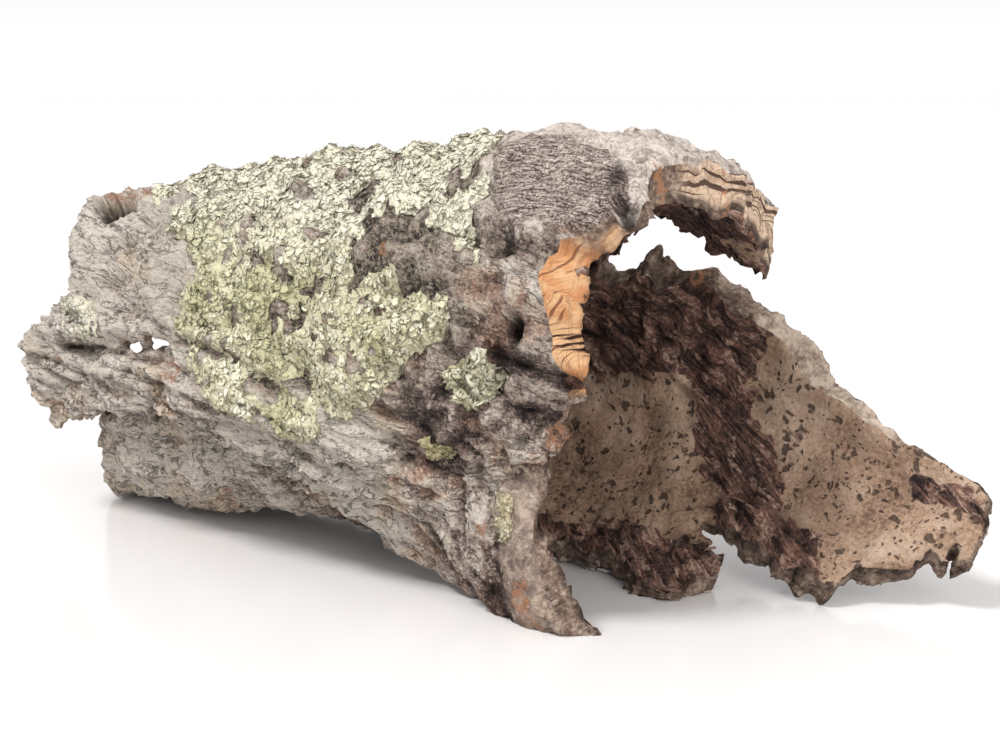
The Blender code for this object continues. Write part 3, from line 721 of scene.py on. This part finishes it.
# The bark. Rows of noise say the step along, the step round, the height and the seed.
bark = {
    "region": (-194, 202, -163, 255), "cell": (1.75, 1.5), "rimRows": 7, "rimWear": 1.3,
    "ragged": ((12, 10, 2.9, 41), (5.0, 4.4, 1.8, 42), (3.4, 3.1, 0.9, 40)),
    "ridges": (30, 4.2, 1.9, 43), "folds": (13, 10, 2.4, 48), "crumbs": (5.4, 4.8, 1.3, 44),
    "grit": (3.0, 2.7, 0.75, 45), "crags": ((15, 10, 2.2, 49), (7.5, 6, 1.3, 50)),
    "layers": (46, 6.0, 3.2, 58),
    "bites": (  # x, angle, radius
        (177, -66, 5.0), (186, -59, 2.8), (161, -88, 2.6), (87, -66, 2.2), (120, -85, 2.5), (70, -108, 3.0),
    ),
    "knot": (-143, 115, 10.5, 3.2, 8.0), "knotRim": 2.8,  # x, angle, radius, height of the rim, depth
    "innerStrands": (24, 3.6, 2.1, 46), "innerChunks": (9, 7.5, 3.6, 63), "innerWaves": (13, 10, 1.6, 49),
    "innerCrumbs": (4.2, 3.8, 0.60, 47),
    "plate": ((41, 105), (62, 101), (84, 106), (96, 112), (96, 126), (78, 129), (57, 128), (47, 119)),
    "tan": ((60, 208), (76, 198), (81, 206), (77, 216), (83, 226), (95, 238), (95, 252), (72, 252),
            (66, 238), (60, 226)),
    "grooves": (  # points, half width, depth
        (((-137, 133), (-125, 131), (-111, 132), (-98, 129), (-83, 131)), 1.6, 3.2),
        (((-158, 171), (-140, 170), (-108, 169), (-94, 167), (-80, 164)), 2.2, 3.4),
        (((30, 150), (40, 160), (47, 172), (52, 184)), 2.0, 2.6),
        (((60, 160), (70, 165), (84, 166)), 2.6, 4.5),
        (((66, 178), (76, 181), (86, 180)), 2.0, 3.5),
        (((58, 200), (68, 199), (80, 196)), 1.8, 2.6),
        (((57, 206), (57, 216), (60, 228), (64, 240)), 2.2, 1.2),
        (((-70, 196), (-40, 203), (-10, 205), (20, 204), (40, 200)), 2.4, 2.6),
        (((-60, 205), (-30, 213), (0, 222), (30, 226)), 2.2, 2.4),
        (((-150, 186), (-120, 182), (-90, 184), (-60, 190)), 2.2, 2.2),
        (((36, 129), (56, 135), (74, 133), (90, 128)), 1.8, 3.2),
        (((30, 190), (40, 205), (44, 222)), 2.2, 2.8),
    ),
    "pits": (  # x, angle, radius, depth
        (68, 153, 3.4, 9.0), (17, 170, 4.6, 5.0), (86, 167, 3.6, 5.0), (99, 119, 4.0, 6.0),
        (62, 131, 2.6, 4.0), (60, 168, 3.0, 3.5), (104, 84, 3.0, 5.0), (-60, 120, 3.4, 3.0),
        (20, 205, 3.0, 3.5), (-134, 190, 4.0, 3.0),
    ),
    "rustSpots": (  # x, angle, radius
        (103, 107, 2.5), (7, 134, 3.2), (-89, 177, 6.0), (-157, 176, 3.5), (70, 229, 5.5), (76, 234, 3.5),
        (118, 92, 4.5), (84, 188, 7.0), (-143, 105, 5.5), (-151, 109, 4.5), (-134, 108, 4.5), (52, 218, 3.0),
        (136, -88, 4.0), (78, 30, 5.0),
    ),
    "darkPatch": (
        (20, 60), (20, -6), (36, -11), (54, -5), (76, -8), (80, -15), (86, -33), (94, -50), (107, -66),
        (118, -90), (150, -90), (143, -73), (126, -50), (109, -32), (99, -15), (104, 4), (118, 17),
        (124, 40), (100, 60),
    ),
    # Hollows painted with shade: x, angle, radius
    "darkHollows": ((-143, 116, 7.0), (92, 113, 3.0)),
    "darkStreak": ((171, -38), (187, -41), (196, -46)),
    "darkHalfWidth": 3.2,
    "angles": {  # the angles over which a zone rises and falls
        "calmEdge": (128, 134, 160, 166), "crust": (55, 80, 118, 132), "halfCrust": (20, 60, 120, 150),
        "fresh": (127, 131, 169, 173), "ledge": (121, 124, 126, 129), "bands": (149, 150.5, 156.5, 158),
        "tongue": (40, 44, 100, 104), "paleRim": (-30, -14, 32, 38), "nearMouth": (116, 122, 174, 178),
    },
}


def barkOutline(x, angle):
    inside = np.minimum.reduce([
        curveAt(tube["rightEnd"], angle) - x, x - curveAt(tube["leftEnd"], angle),
        (curveAt(tube["frontEdge"], x) - angle) * mmPerDegree,
        (angle - curveAt(tube["bottomEdge"], x)) * mmPerDegree])
    for gap in ("topNotch", "bottomNotch", "slitBay"):
        rows = tube[gap]
        corners = [row[0] for row in rows] + [row[1] for row in reversed(rows)]
        inside = np.minimum(inside, -depthInside(corners, x, angle))
    for first, last, radius in tube["holes"]:
        inside = np.minimum(inside, lineDistance((first, last), x, angle) - radius)
    for middle, turn, radius in bark["bites"]:
        inside = np.minimum(inside, spotDistance(x, angle, middle, turn) - radius)
    calm = 1 - 0.7 * onAngles("calmEdge", angle) * smoothStep(x, 60, 70)
    return inside + calm * sum(fineLumps(x, angle, *row) for row in bark["ragged"])


def grainShare(x, angle):
    left = smoothStep(35 - x, 0, 50) * smoothStep(angle, 150, 175)
    return np.clip(left + 0.30 + lumps(x, angle, 60, 40, 0.6, 51), 0, 1)


def polygonShare(name, x, angle, seed):
    return smoothStep(depthInside(bark[name], x, angle) + fineLumps(x, angle, 8, 7, 2.0, seed), -1.0, 1.0)


def plateShare(x, angle):
    return polygonShare("plate", x, angle, 52)


def tanShare(x, angle):
    return polygonShare("tan", x, angle, 56)


def crustShare(x, angle):
    crust = smoothStep(x, 30, 60) * onAngles("crust", angle)
    crust = crust + 0.5 * onAngles("halfCrust", angle) + lumps(x, angle, 30, 24, 0.5, 81)
    return np.clip(crust, 0, 1) * (1 - plateShare(x, angle))


# Terraces: seeded noise that stands at two levels with a slope between them.
def terraces(x, angle, row, slope):
    stepX, stepAngle, height, seed = row
    return height * (smoothStep(fineLumps(x, angle, stepX, stepAngle, 1.0, seed), -slope, slope) - 0.5)


def finerOuter(x, angle):
    grain = grainShare(x, angle)
    calm = 1 - np.maximum(0.62 * plateShare(x, angle), 0.45 * tanShare(x, angle))
    lean = angle - 0.30 * (x + 100) * smoothStep(angle, 150, 190)  # the grain runs down to the right in front
    ridges = 0.8 - 2.2 * np.abs(fineLumps(x, lean, *bark["ridges"]))
    relief = ridges * (0.30 + 0.70 * grain) * calm
    folds = 1.0 - 2.0 * np.abs(fineLumps(x, angle, *bark["folds"]))
    relief = relief + folds * (0.8 - 0.5 * grain + 0.5 * crustShare(x, angle)) * calm
    for row in bark["crags"]:
        relief = relief + terraces(x, lean, row, 0.22) * (1 - 0.75 * grain) * calm
    relief = relief + terraces(x, lean, bark["layers"], 0.20) * grain * calm
    middle, turn, radius, height, depth = bark["knot"]
    away = spotDistance(x, angle, middle, turn) + fineLumps(x, angle, 6, 5, 1.2, 57)
    relief = relief + height * np.exp(-(((away - radius) / bark["knotRim"]) ** 2))
    relief = relief - depth * smoothStep(0.9 * radius - away, 0, 0.5 * radius)
    relief = relief + fineLumps(x, angle, *bark["crumbs"]) * (1.1 - 0.6 * grain) * (0.15 + 0.85 * calm)
    relief = relief + fineLumps(x, angle, *bark["grit"]) * (0.30 + 0.70 * calm)
    for points, halfWidth, depth in bark["grooves"]:
        awayX = x + fineLumps(x, angle, 9, 8, 2.0, 53)
        away = lineDistance(points, awayX, angle + fineLumps(x, angle, 9, 8, 2.0, 54))
        relief = relief - depth * np.exp(-(away / halfWidth) ** 2)
    for middle, turn, radius, depth in bark["pits"]:
        away = spotDistance(x, angle, middle, turn) + fineLumps(x, angle, 4, 4, 0.8, 55)
        relief = relief - depth * smoothStep(radius * 1.35 - away, 0, radius * 0.7)
    return relief


def darkShare(x, angle):
    patch = depthInside(bark["darkPatch"], x, angle)
    fringe = (-63 - angle) * mmPerDegree - 0.25 * np.abs(x - 75)
    front = (angle - 60) * mmPerDegree
    streak = bark["darkHalfWidth"] - lineDistance(bark["darkStreak"], x, angle)
    value = np.maximum.reduce([patch, fringe, front, 6 - x])
    small = fineLumps(x, angle, 5, 4.5, 3.5, 62)
    return np.maximum(smoothStep(value + fineLumps(x, angle, 14, 12, 7.0, 61) + small, -3, 3),
                      smoothStep(streak + small, -3, 3))


# How far the inner face stands in from its plain form.
def finerInner(x, angle):
    dark, arc = darkShare(x, angle), angle * mmPerDegree
    strands = 1.2 - 3.2 * np.abs(fineLumps(0.7 * (x - arc), 0.7 * (x + arc), *bark["innerStrands"]))
    relief = dark * (0.9 + strands + fineLumps(x, angle, *bark["innerChunks"]))
    relief = relief + (1 - dark) * fineLumps(x, angle, *bark["innerWaves"])
    return relief + fineLumps(x, angle, *bark["innerCrumbs"])


def barkOuterRise(x, angle):
    return outerRelief(x, angle) + finerOuter(x, angle)


def barkInnerRise(x, angle):
    calm = 1 - 0.75 * smoothStep(angle, 95, 108) * smoothStep(x, 78, 90)
    return innerRelief(x, angle) - np.maximum(-1.5, finerInner(x, angle)) * calm


def barkRimShift(x, angle, share):
    along = x + angle * mmPerDegree
    rough = fineLumps(along, share * 60, 5, 14, 1.2, 71) + fineLumps(along, share * 60, 2.6, 9, 0.7, 72)
    return rough * np.where((angle > 126) & (angle < 170) & (x > 60), 0.3, 1.0) - 0.7


# The broken edge beside the mouth slopes: its inner rim stands further out than its outer rim.
def edgeSlope(x, angle):
    return curveAt(tube["edgeSlope"], angle) * smoothStep(x, *tube["slopeReach"])


def spotShare(spots, x, angle):
    value = np.zeros(np.shape(x))
    for middle, turn, radius in spots:
        inside = radius - spotDistance(x, angle, middle, turn)
        value = np.maximum(value, smoothStep(inside, -2.0, 2.0))
    return value


def buildBark():
    parts = sheetMesh(bark, barkOutline, barkOuterRise, barkInnerRise, barkRimShift, edgeSlope)
    parts["points"][:, 2] = np.maximum(parts["points"][:, 2], 0.0)
    x, angle, share = parts["x"], parts["angle"], parts["share"]
    finer, beside = finerOuter(x, angle), smoothStep(x, 62, 70)
    finer = finer - np.median(finer[share == 0])
    ledge = onAngles("ledge", angle) * hill(x, 70, 86, 96, 102)
    fresh = np.maximum(onAngles("fresh", angle) * beside, 0.8 * ledge * smoothStep(share, 0.30, 0.55))
    tongue = onAngles("tongue", angle) * smoothStep(x, 96, 102)
    left, low = smoothStep(-x, 30, 110), smoothStep(angle, 175, 200) * smoothStep(40 - x, 0, 60)
    paleRim = parts["rim"] * onAngles("paleRim", angle) * smoothStep(x, 96, 106)
    # Painted shade in the hollows, on the outer face and the outer half of the rim.
    hollowShadeShare = spotShare(bark["darkHollows"], x, angle) * (share < 0.5)
    zones = {
        "grain": grainShare(x, angle),
        "plate": plateShare(x, angle),
        "tan": tanShare(x, angle),
        "rust": spotShare(bark["rustSpots"], x, angle),
        "crust": crustShare(x, angle),
        "paleness": np.clip(np.maximum(left, low) + paleRim + 0.15 * smoothStep(x, 30, 60)
                            + lumps(x, angle, 40, 30, 0.5, 82), -0.4, 1),
        "dust": smoothStep(depthInside(lichens["lichen_mat"]["rim"], x, angle), -14, 4) * 0.6,
        # The sheet's fine relief, which the outer finish turns into painted light on ridges and painted shade
        # in furrows.
        "relief": np.clip(finer / 2.5, -1, 1),
        "innerRelief": np.clip(finerInner(x, angle) / 2.5, -1, 1),
        # Painted shade where the relief sinks more than 3 mm and in the hollows.
        "cavity": np.maximum(np.where(share < 0.5, smoothStep(-finer, 3.0, 6.0), 0.0), 0.9 * hollowShadeShare) * 0.9,
        "dark": darkShare(x, angle),
        "fresh": fresh,
        "bands": onAngles("bands", angle) * beside,
        "cutFace": tongue * smoothStep(0.9 - share, 0, 0.2),
        "char": np.clip(smoothStep(share, 0.45, 0.9) * (1 - fresh) * 0.7 * (1 - 0.85 * paleRim), 0, 1),
        "across": share,
    }
    piece = addPiece("bark_sheet", parts, [makeOuterFinish(), makeInnerFinish(), makeEdgeFinish()], zones)
    print("bark", len(parts["faces"]) * 2, "triangles")
    return piece, parts


# The lichens: a crusty base on the bark with leaves scattered over it by geometry nodes.
lichens = {
    "lichen_mat": {
        "rim": ((-131, 104), (-121, 120), (-110, 131), (-102, 150), (-85, 163), (-72, 180), (-55, 189),
                (-38, 197), (-19, 197), (-2, 190), (12, 180), (22, 169), (38, 158), (48, 145), (51, 135),
                (43, 126), (45, 115), (33, 100), (22, 86), (-14, 78), (-50, 72), (-88, 76), (-118, 86)),
        "slot": "lichen_green", "height": 1.5, "holes": 0.62,
        "leafSize": (0.7, 2.2), "perSquareCm": 24, "green": 0.55,
        "colours": ((0.50, 0.46, 0.29), (0.85, 0.79, 0.56), (0.98, 0.94, 0.76)),
        "cell": (1.8, 1.6), "seed": 31,
        "bare": (  # strips of bare bark through it: points, half width
            (((2, 130), (29, 136), (50, 147), (54, 157), (62, 138)), 9),
            (((-122, 121), (-108, 134), (-99, 150)), 12),
        ),
    },
    "lichen_rosette": {
        "rim": ((55, 162), (45, 163), (39, 171), (46, 178), (56, 177), (61, 169)),
        "slot": "lichen_green", "height": 1.2, "holes": 0.0,
        "leafSize": (1.4, 3.2), "perSquareCm": 28, "green": 0.30,
        "colours": ((0.46, 0.43, 0.27), (0.74, 0.69, 0.49), (0.92, 0.88, 0.70)),
        "cell": (1.1, 1.0), "seed": 32,
    },
    "lichen_patch_left": {
        "rim": ((-137, 153), (-149, 151), (-154, 157), (-145, 168), (-136, 169), (-130, 162)),
        "slot": "lichen_pale", "height": 0.7, "holes": 0.5,
        "leafSize": (0.6, 1.5), "perSquareCm": 44, "green": 0.0,
        "colours": ((0.66, 0.60, 0.46), (0.90, 0.85, 0.68), (0.98, 0.95, 0.84)),
        "cell": (1.1, 1.0), "seed": 33,
    },
    "lichen_patch_front": {
        "rim": ((34, 193), (29, 194), (30, 200), (35, 203), (38, 199)),
        "slot": "lichen_yellow", "height": 0.9, "holes": 0.1,
        "leafSize": (0.7, 1.5), "perSquareCm": 60, "green": 0.0,
        "colours": ((0.50, 0.43, 0.22), (0.72, 0.64, 0.38), (0.88, 0.81, 0.56)),
        "cell": (0.9, 0.8), "seed": 34,
    },
    "lichen_patch_foot": {
        "rim": ((61, 210), (56, 211), (57, 218), (62, 221), (65, 216)),
        "slot": "lichen_yellow", "height": 0.9, "holes": 0.1,
        "leafSize": (0.7, 1.5), "perSquareCm": 60, "green": 0.0,
        "colours": ((0.48, 0.41, 0.24), (0.68, 0.59, 0.40), (0.84, 0.76, 0.56)),
        "cell": (0.9, 0.8), "seed": 35,
    },
}


lichenGap, lichenLeast = 0.12, 0.5  # from the bark to the base's two faces, in millimetres
lichenRimPoints = 90
lichenTilt = 0.26
lichenGreens = ((0.36, 0.35, 0.15), (0.72, 0.69, 0.40))
# The speck colour is the painted shade in the gaps between the lobes.
lichenSunlit, lichenGapShade = (0.95, 0.91, 0.76), (0.060, 0.050, 0.036)


def smoothRim(points):
    points = np.array(points, float)
    place = np.arange(lichenRimPoints) * len(points) / lichenRimPoints
    left = np.floor(place).astype(int)
    share = (place - left)[:, None]
    before, first, last, after = (points[(left + k) % len(points)] for k in (-1, 0, 1, 2))
    return cubic(1, share, first, last, (last - before) / 2, (after - first) / 2)


def makeLichenFinish(name, colours, greenness):
    material, n, shader = newMaterial(name)
    place = n.place()
    broad = n.noise(place, 45.0, 5.0, 0.6)
    grit = n.noise(place, 900.0, 4.0, 0.72)
    value = n.weigh((broad, 0.42), (grit, 0.34), (n.zone("tint"), 0.24))
    colour = n.ramp(value, ((0.34, colours[0]), (0.48, colours[1]), (0.62, colours[2])))
    green = n.between(n.noise(place, 34.0, 4.0, 0.55), 0.46, 0.62, 0.0, greenness)
    colour = n.mix(green, colour, n.mix(grit, *lichenGreens))
    high = n.add("ShaderNodeSeparateXYZ", None, {0: place}).outputs[2]
    sunlit = n.times(n.between(high, 0.108, 0.140), n.between(grit, 0.36, 0.52, 0.2, 0.80))
    colour = n.mix(sunlit, colour, lichenSunlit)
    # Dark specks: painted shade in the tiny gaps between lobes.
    gapShade = n.between(n.noise(place, 380.0, 5.0, 0.78), 0.34, 0.41, 0.9, 0.0)
    colour = n.mix(gapShade, colour, lichenGapShade)
    n.finish(shader, colour, 0.92, n.weigh((grit, 0.9), (gapShade, -0.5)), 0.0016)
    return material


def addVariant(group, points, faces, smooth):
    name = f"{group.name}{len(group.objects)}"
    mesh = bpy.data.meshes.new(name)
    mesh.from_pydata((points * mm).tolist(), [], faces)
    mesh.polygons.foreach_set("use_smooth", np.full(len(faces), smooth))
    group.objects.link(bpy.data.objects.new(name, mesh))


leafShape = {"corners": 8, "lobes": 3, "cup": 0.10, "thickness": 0.12, "variants": 8}


# Small closed leaves with a wavy rim that curls up, in a collection that isn't in the scene.
def makeLeaves(name, seed):
    rng = np.random.default_rng(seed)
    group = bpy.data.collections.new(name)
    corners, lobes, cup, thickness, variants = leafShape.values()
    turn = np.arange(corners) * 2 * np.pi / corners
    for _ in range(variants):
        reach = 1 + 0.30 * np.cos(lobes * turn + rng.uniform(0, 6)) + rng.uniform(-0.16, 0.16, corners)
        stretch = rng.uniform(0.75, 1.0)
        lift = cup * reach**2 + rng.uniform(-0.12, 0.18, corners)
        rim = np.stack([reach * np.cos(turn), reach * np.sin(turn) * stretch, lift], -1)
        ring = rim * (0.55, 0.55, 0.30) + rng.uniform(-0.05, 0.05, (corners, 3))
        points = np.concatenate([[(0, 0, 0.02)], ring, rim, [(0, 0, -thickness)]])
        faces = []
        for a in range(corners):
            b = (a + 1) % corners
            ringA, ringB, rimA, rimB = 1 + a, 1 + b, 1 + corners + a, 1 + corners + b
            faces += [(0, ringA, ringB), (ringA, rimA, rimB), (ringA, rimB, ringB),
                      (1 + 2 * corners, rimB, rimA)]
        addVariant(group, points, faces, True)
    return group


# One tree serves for leaves, flakes and splinters. Sizes are scales of the pieces in the collection.
def makeScatterTree(name, group, material, keepBase, grain=(1.0, 0.0, 0.0)):
    tree = bpy.data.node_groups.new(name, "GeometryNodeTree")
    n, face = Nodes(tree), tree.interface
    face.new_socket("Geometry", in_out="INPUT", socket_type="NodeSocketGeometry")
    for label, kind in (("Density", "Float"), ("Smallest", "Float"), ("Largest", "Float"), ("Tilt", "Float"),
                        ("Along", "Float"), ("Seed", "Int")):
        face.new_socket(label, in_out="INPUT", socket_type="NodeSocket" + kind)
    face.new_socket("Geometry", in_out="OUTPUT", socket_type="NodeSocketGeometry")
    given = tree.nodes.new("NodeGroupInput").outputs

    def randomOf(kind, low, high, offset):
        seed = n.calc("ADD", given["Seed"], offset)
        node = n.add("FunctionNodeRandomValue", {"data_type": kind}, {"Seed": seed})
        for key, value in (("Min", low), ("Max", high)):
            sockets = [s for s in node.inputs if s.name == key and s.enabled]
            if isinstance(value, bpy.types.NodeSocket):
                tree.links.new(value, sockets[0])
            else:
                sockets[0].default_value = value
        return [s for s in node.outputs if s.enabled][0]

    share = n.add("GeometryNodeInputNamedAttribute", {"data_type": "FLOAT"}, {"Name": "scatter"}).outputs[0]
    density = n.times(share, given["Density"])
    spread = n.add("GeometryNodeDistributePointsOnFaces", {"distribute_method": "RANDOM"},
                   {"Mesh": given["Geometry"], "Density": density, "Seed": given["Seed"]})
    pieces = n.add("GeometryNodeCollectionInfo", None,
                   {"Collection": group, "Separate Children": True, "Reset Children": True})
    upright = n.add("FunctionNodeAlignRotationToVector", {"axis": "Z"}, {"Vector": spread.outputs["Normal"]})
    lengthwise = n.add("FunctionNodeAlignRotationToVector", {"axis": "X", "pivot_axis": "Z"},
                       {"Rotation": upright.outputs[0], "Factor": given["Along"], "Vector": grain})
    spinReach = n.calc("MULTIPLY_ADD", given["Along"], -2.75, 3.15)  # from any way round to lengthwise
    spin = randomOf("FLOAT", n.times(spinReach, -1.0), spinReach, 1)
    tiltLow = n.times(given["Tilt"], -1.0)
    tipped = n.add("ShaderNodeCombineXYZ", None,
                   {"X": randomOf("FLOAT", tiltLow, given["Tilt"], 2),
                    "Y": randomOf("FLOAT", tiltLow, given["Tilt"], 3),
                    "Z": spin}).outputs[0]
    turned = n.add("FunctionNodeRotateRotation", {"rotation_space": "LOCAL"},
                   {"Rotation": lengthwise.outputs[0],
                    "Rotate By": n.add("FunctionNodeEulerToRotation", None, {0: tipped}).outputs[0]})
    placed = n.add("GeometryNodeInstanceOnPoints", None,
                   {"Points": spread.outputs["Points"], "Instance": pieces.outputs[0], "Pick Instance": True,
                    "Rotation": turned.outputs[0],
                    "Scale": randomOf("FLOAT", given["Smallest"], given["Largest"], 4)})
    tinted = n.add("GeometryNodeStoreNamedAttribute", {"data_type": "FLOAT", "domain": "INSTANCE"},
                   {"Geometry": placed.outputs[0], "Name": "tint", "Value": randomOf("FLOAT", 0.0, 1.0, 5)})
    real = n.add("GeometryNodeRealizeInstances", None, {0: tinted.outputs[0]})
    painted = n.add("GeometryNodeSetMaterial", None, {"Geometry": real.outputs[0], "Material": material})
    result = painted.outputs[0]
    if keepBase:
        joined = tree.nodes.new("GeometryNodeJoinGeometry")
        tree.links.new(given["Geometry"], joined.inputs[0])
        tree.links.new(result, joined.inputs[0])
        result = joined.outputs[0]
    tree.links.new(result, tree.nodes.new("NodeGroupOutput").inputs[0])
    return tree


# Runs a tree on a carrier mesh and returns its result as a plain mesh in a piece of its own.
def scatter(name, carrier, tree, values):
    step = carrier.modifiers.new("scatter", "NODES")
    step.node_group = tree
    sockets = {item.name: item.identifier for item in tree.interface.items_tree if item.in_out == "INPUT"}
    for label, value in values.items():
        step[sockets[label]] = value
    graph = bpy.context.evaluated_depsgraph_get()
    graph.update()
    mesh = bpy.data.meshes.new_from_object(carrier.evaluated_get(graph))
    carrier.modifiers.remove(step)
    mesh.name = name
    places = np.zeros(len(mesh.vertices) * 3, np.float32)
    mesh.vertices.foreach_get("co", places)
    places[2::3] = np.maximum(places[2::3], 0)  # nothing reaches below the floor
    mesh.vertices.foreach_set("co", places)
    mesh.calc_loop_triangles()
    print(name, len(mesh.loop_triangles), "triangles")
    return mesh


def buildLichen(name, make):
    rim = smoothRim(make["rim"])
    low, high = rim.min(0) - 5, rim.max(0) + 5
    grid = {"region": (low[0], high[0], low[1], high[1]), "cell": make["cell"], "rimRows": 2, "rimWear": 0.5}
    seed = make["seed"] * 10

    def outline(x, angle):
        edge = depthInside(rim, x, angle) + fineLumps(x, angle, 7, 6, 2.0, seed)
        edge = edge + fineLumps(x, angle, 3, 2.6, 1.0, seed + 1)
        if not make["holes"]:
            return edge
        cover = 2.6 - 2.4 * make["holes"] + fineLumps(x, angle, 12, 11, 3.2, seed + 2)
        cover = cover + fineLumps(x, angle, 5, 4.6, 2.2, seed + 3)
        for points, halfWidth in make.get("bare", ()):
            away = (lineDistance(points, x, angle) - halfWidth) * 0.5
            cover = np.minimum(cover, away + fineLumps(x, angle, 6, 5.4, 4.0, seed + 6))
        return np.minimum(edge, cover)

    def top(x, angle):
        crinkle = fineLumps(x, angle, 5.5, 5, 1.1, seed + 4)
        crinkle = crinkle + fineLumps(x, angle, 2.4, 2.2, 0.7, seed + 5)
        rise = make["height"] * smoothStep(outline(x, angle), -0.5, 3.0) + crinkle
        return barkOuterRise(x, angle) + np.maximum(rise, lichenLeast)

    def bottom(x, angle):
        return barkOuterRise(x, angle) + lichenGap

    parts = sheetMesh(grid, outline, top, bottom, lambda x, angle, share: 0 * x)
    rng = np.random.default_rng(seed)
    material = makeLichenFinish(name, make["colours"], make["green"])
    zones = {"tint": rng.uniform(0, 1, len(parts["x"])) * 0.6,
             "scatter": np.where(parts["share"] == 0, 1.0, 0.0)}
    base = addPiece(name + "_base", parts, [material], zones)
    leaves = makeLeaves(name + "Leaf", seed)
    tree = makeScatterTree(name + "Scatter", leaves, material, True)
    small, large = make["leafSize"]
    mesh = scatter(name + "_leaves", base, tree, {
        "Density": make["perSquareCm"] * perSquareCm, "Smallest": small, "Largest": large,
        "Tilt": lichenTilt, "Along": 0.0, "Seed": seed})
    bpy.data.objects.remove(base)
    piece = linkObject(name + "_leaves", mesh)
    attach(piece, "root")
    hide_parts(name)


# Loose flakes outside and dark splinters inside.
flakes = {
    "perSquareCm": 12.0, "size": (0.45, 1.5), "tilt": 0.45, "along": 0.45, "seed": 71,
    "grain": (1.0, 0.0, 0.0),
    "shape": (1.3, 0.85, 0.30), "shapeSeed": 5,  # half length, half width, height
}
splinters = {
    "perSquareCm": 3.0, "size": (0.4, 1.5), "tilt": 0.6, "along": 0.90, "seed": 72,
    "grain": (0.75, 0.0, -0.66),
    "shape": (2.2, 0.50, 0.45), "shapeSeed": 6,
    "colours": ((0.030, 0.017, 0.014), (0.120, 0.066, 0.052), (0.34, 0.22, 0.17)),
}
chipVariants, chipCorners = 6, 6


# Chips of bark: flat, longer than wide, with broken corners.
def makeChips(name, make):
    rng = np.random.default_rng(make["shapeSeed"])
    group = bpy.data.collections.new(name)
    length, width, height = make["shape"]
    count = chipCorners
    turn = np.arange(count) * np.pi / 3
    for _ in range(chipVariants):
        outline = np.stack([length * np.cos(turn), width * np.sin(turn), 0 * turn], -1)
        outline = outline * rng.uniform(0.7, 1.2, (count, 1))
        lean = rng.uniform(-0.12, 0.12, (count, 3)) * (length, width, height * 2)
        top = outline * 0.75 + (0, 0, height) + lean
        ends = [(0, 0, height * 1.1), (0, 0, -height * 0.7)]
        points = np.concatenate([outline - (0, 0, height * 0.6), top, ends])
        faces = []
        for a in range(count):
            b = (a + 1) % count
            faces += [(a, b, count + b), (a, count + b, count + a), (count + a, count + b, 2 * count),
                      (b, a, 2 * count + 1)]
        addVariant(group, points, faces, False)
    return group


def makeChipFinish(name, colours):
    material, n, shader = newMaterial(name)
    place = n.place()
    grit = n.noise(place, 620.0, 5.0, 0.7)
    tint = n.calc("ADD", n.times(n.zone("tint"), 0.6), n.times(grit, 0.4))
    colour = n.ramp(tint, tuple(zip((0.2, 0.6, 0.85), colours)))
    n.finish(shader, colour, 0.88, grit, 0.0008)
    return material


def scatterOver(name, piece, share, material, make):
    attribute = piece.data.attributes.new("scatter", "FLOAT", "POINT")
    attribute.data.foreach_set("value", share.astype(np.float32))
    tree = makeScatterTree(name + "Scatter", makeChips(name + "Chip", make), material, False, make["grain"])
    small, large = make["size"]
    mesh = scatter(name, piece, tree,
                   {"Density": make["perSquareCm"] * perSquareCm, "Smallest": small, "Largest": large,
                    "Tilt": make["tilt"], "Along": make["along"], "Seed": make["seed"]})
    piece.data.attributes.remove(piece.data.attributes["scatter"])
    made = linkObject(name, mesh)
    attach(made, "root")


# Flakes lie between the lichens, away from the orange edge, and splinters on the dark wood.
def scatterChips(sheet, parts):
    x, angle, share = parts["x"], parts["angle"], parts["share"]
    matDepth = depthInside(lichens["lichen_mat"]["rim"], x, angle)
    nearMouth = onAngles("nearMouth", angle) * smoothStep(x, 58, 62)
    outside = (share == 0) * (1 - nearMouth) * (1 - 0.7 * crustShare(x, angle))
    outside = outside * smoothStep(3 - matDepth, 0, 3) * (1 - plateShare(x, angle))
    outside = outside * np.clip(0.5 + lumps(x, angle, 20, 16, 1.6, 91), 0.05, 1)
    inside = (share == 1) * darkShare(x, angle) ** 2 * hill(x, -70, -50, 157, 162)
    inside = inside * (1 - smoothStep(angle, 30, 40) * smoothStep(x, 80, 88))
    scatterOver("bark_flakes", sheet, outside, sheet.data.materials[0], flakes)
    splinterFinish = makeChipFinish("barkSplinter", splinters["colours"])
    scatterOver("bark_splinters", sheet, inside, splinterFinish, splinters)


sheet, sheetParts = buildBark()
scatterChips(sheet, sheetParts)
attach(sheet, "root")
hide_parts("bark")

for lichenName, lichenMake in lichens.items():
    buildLichen(lichenName, lichenMake)
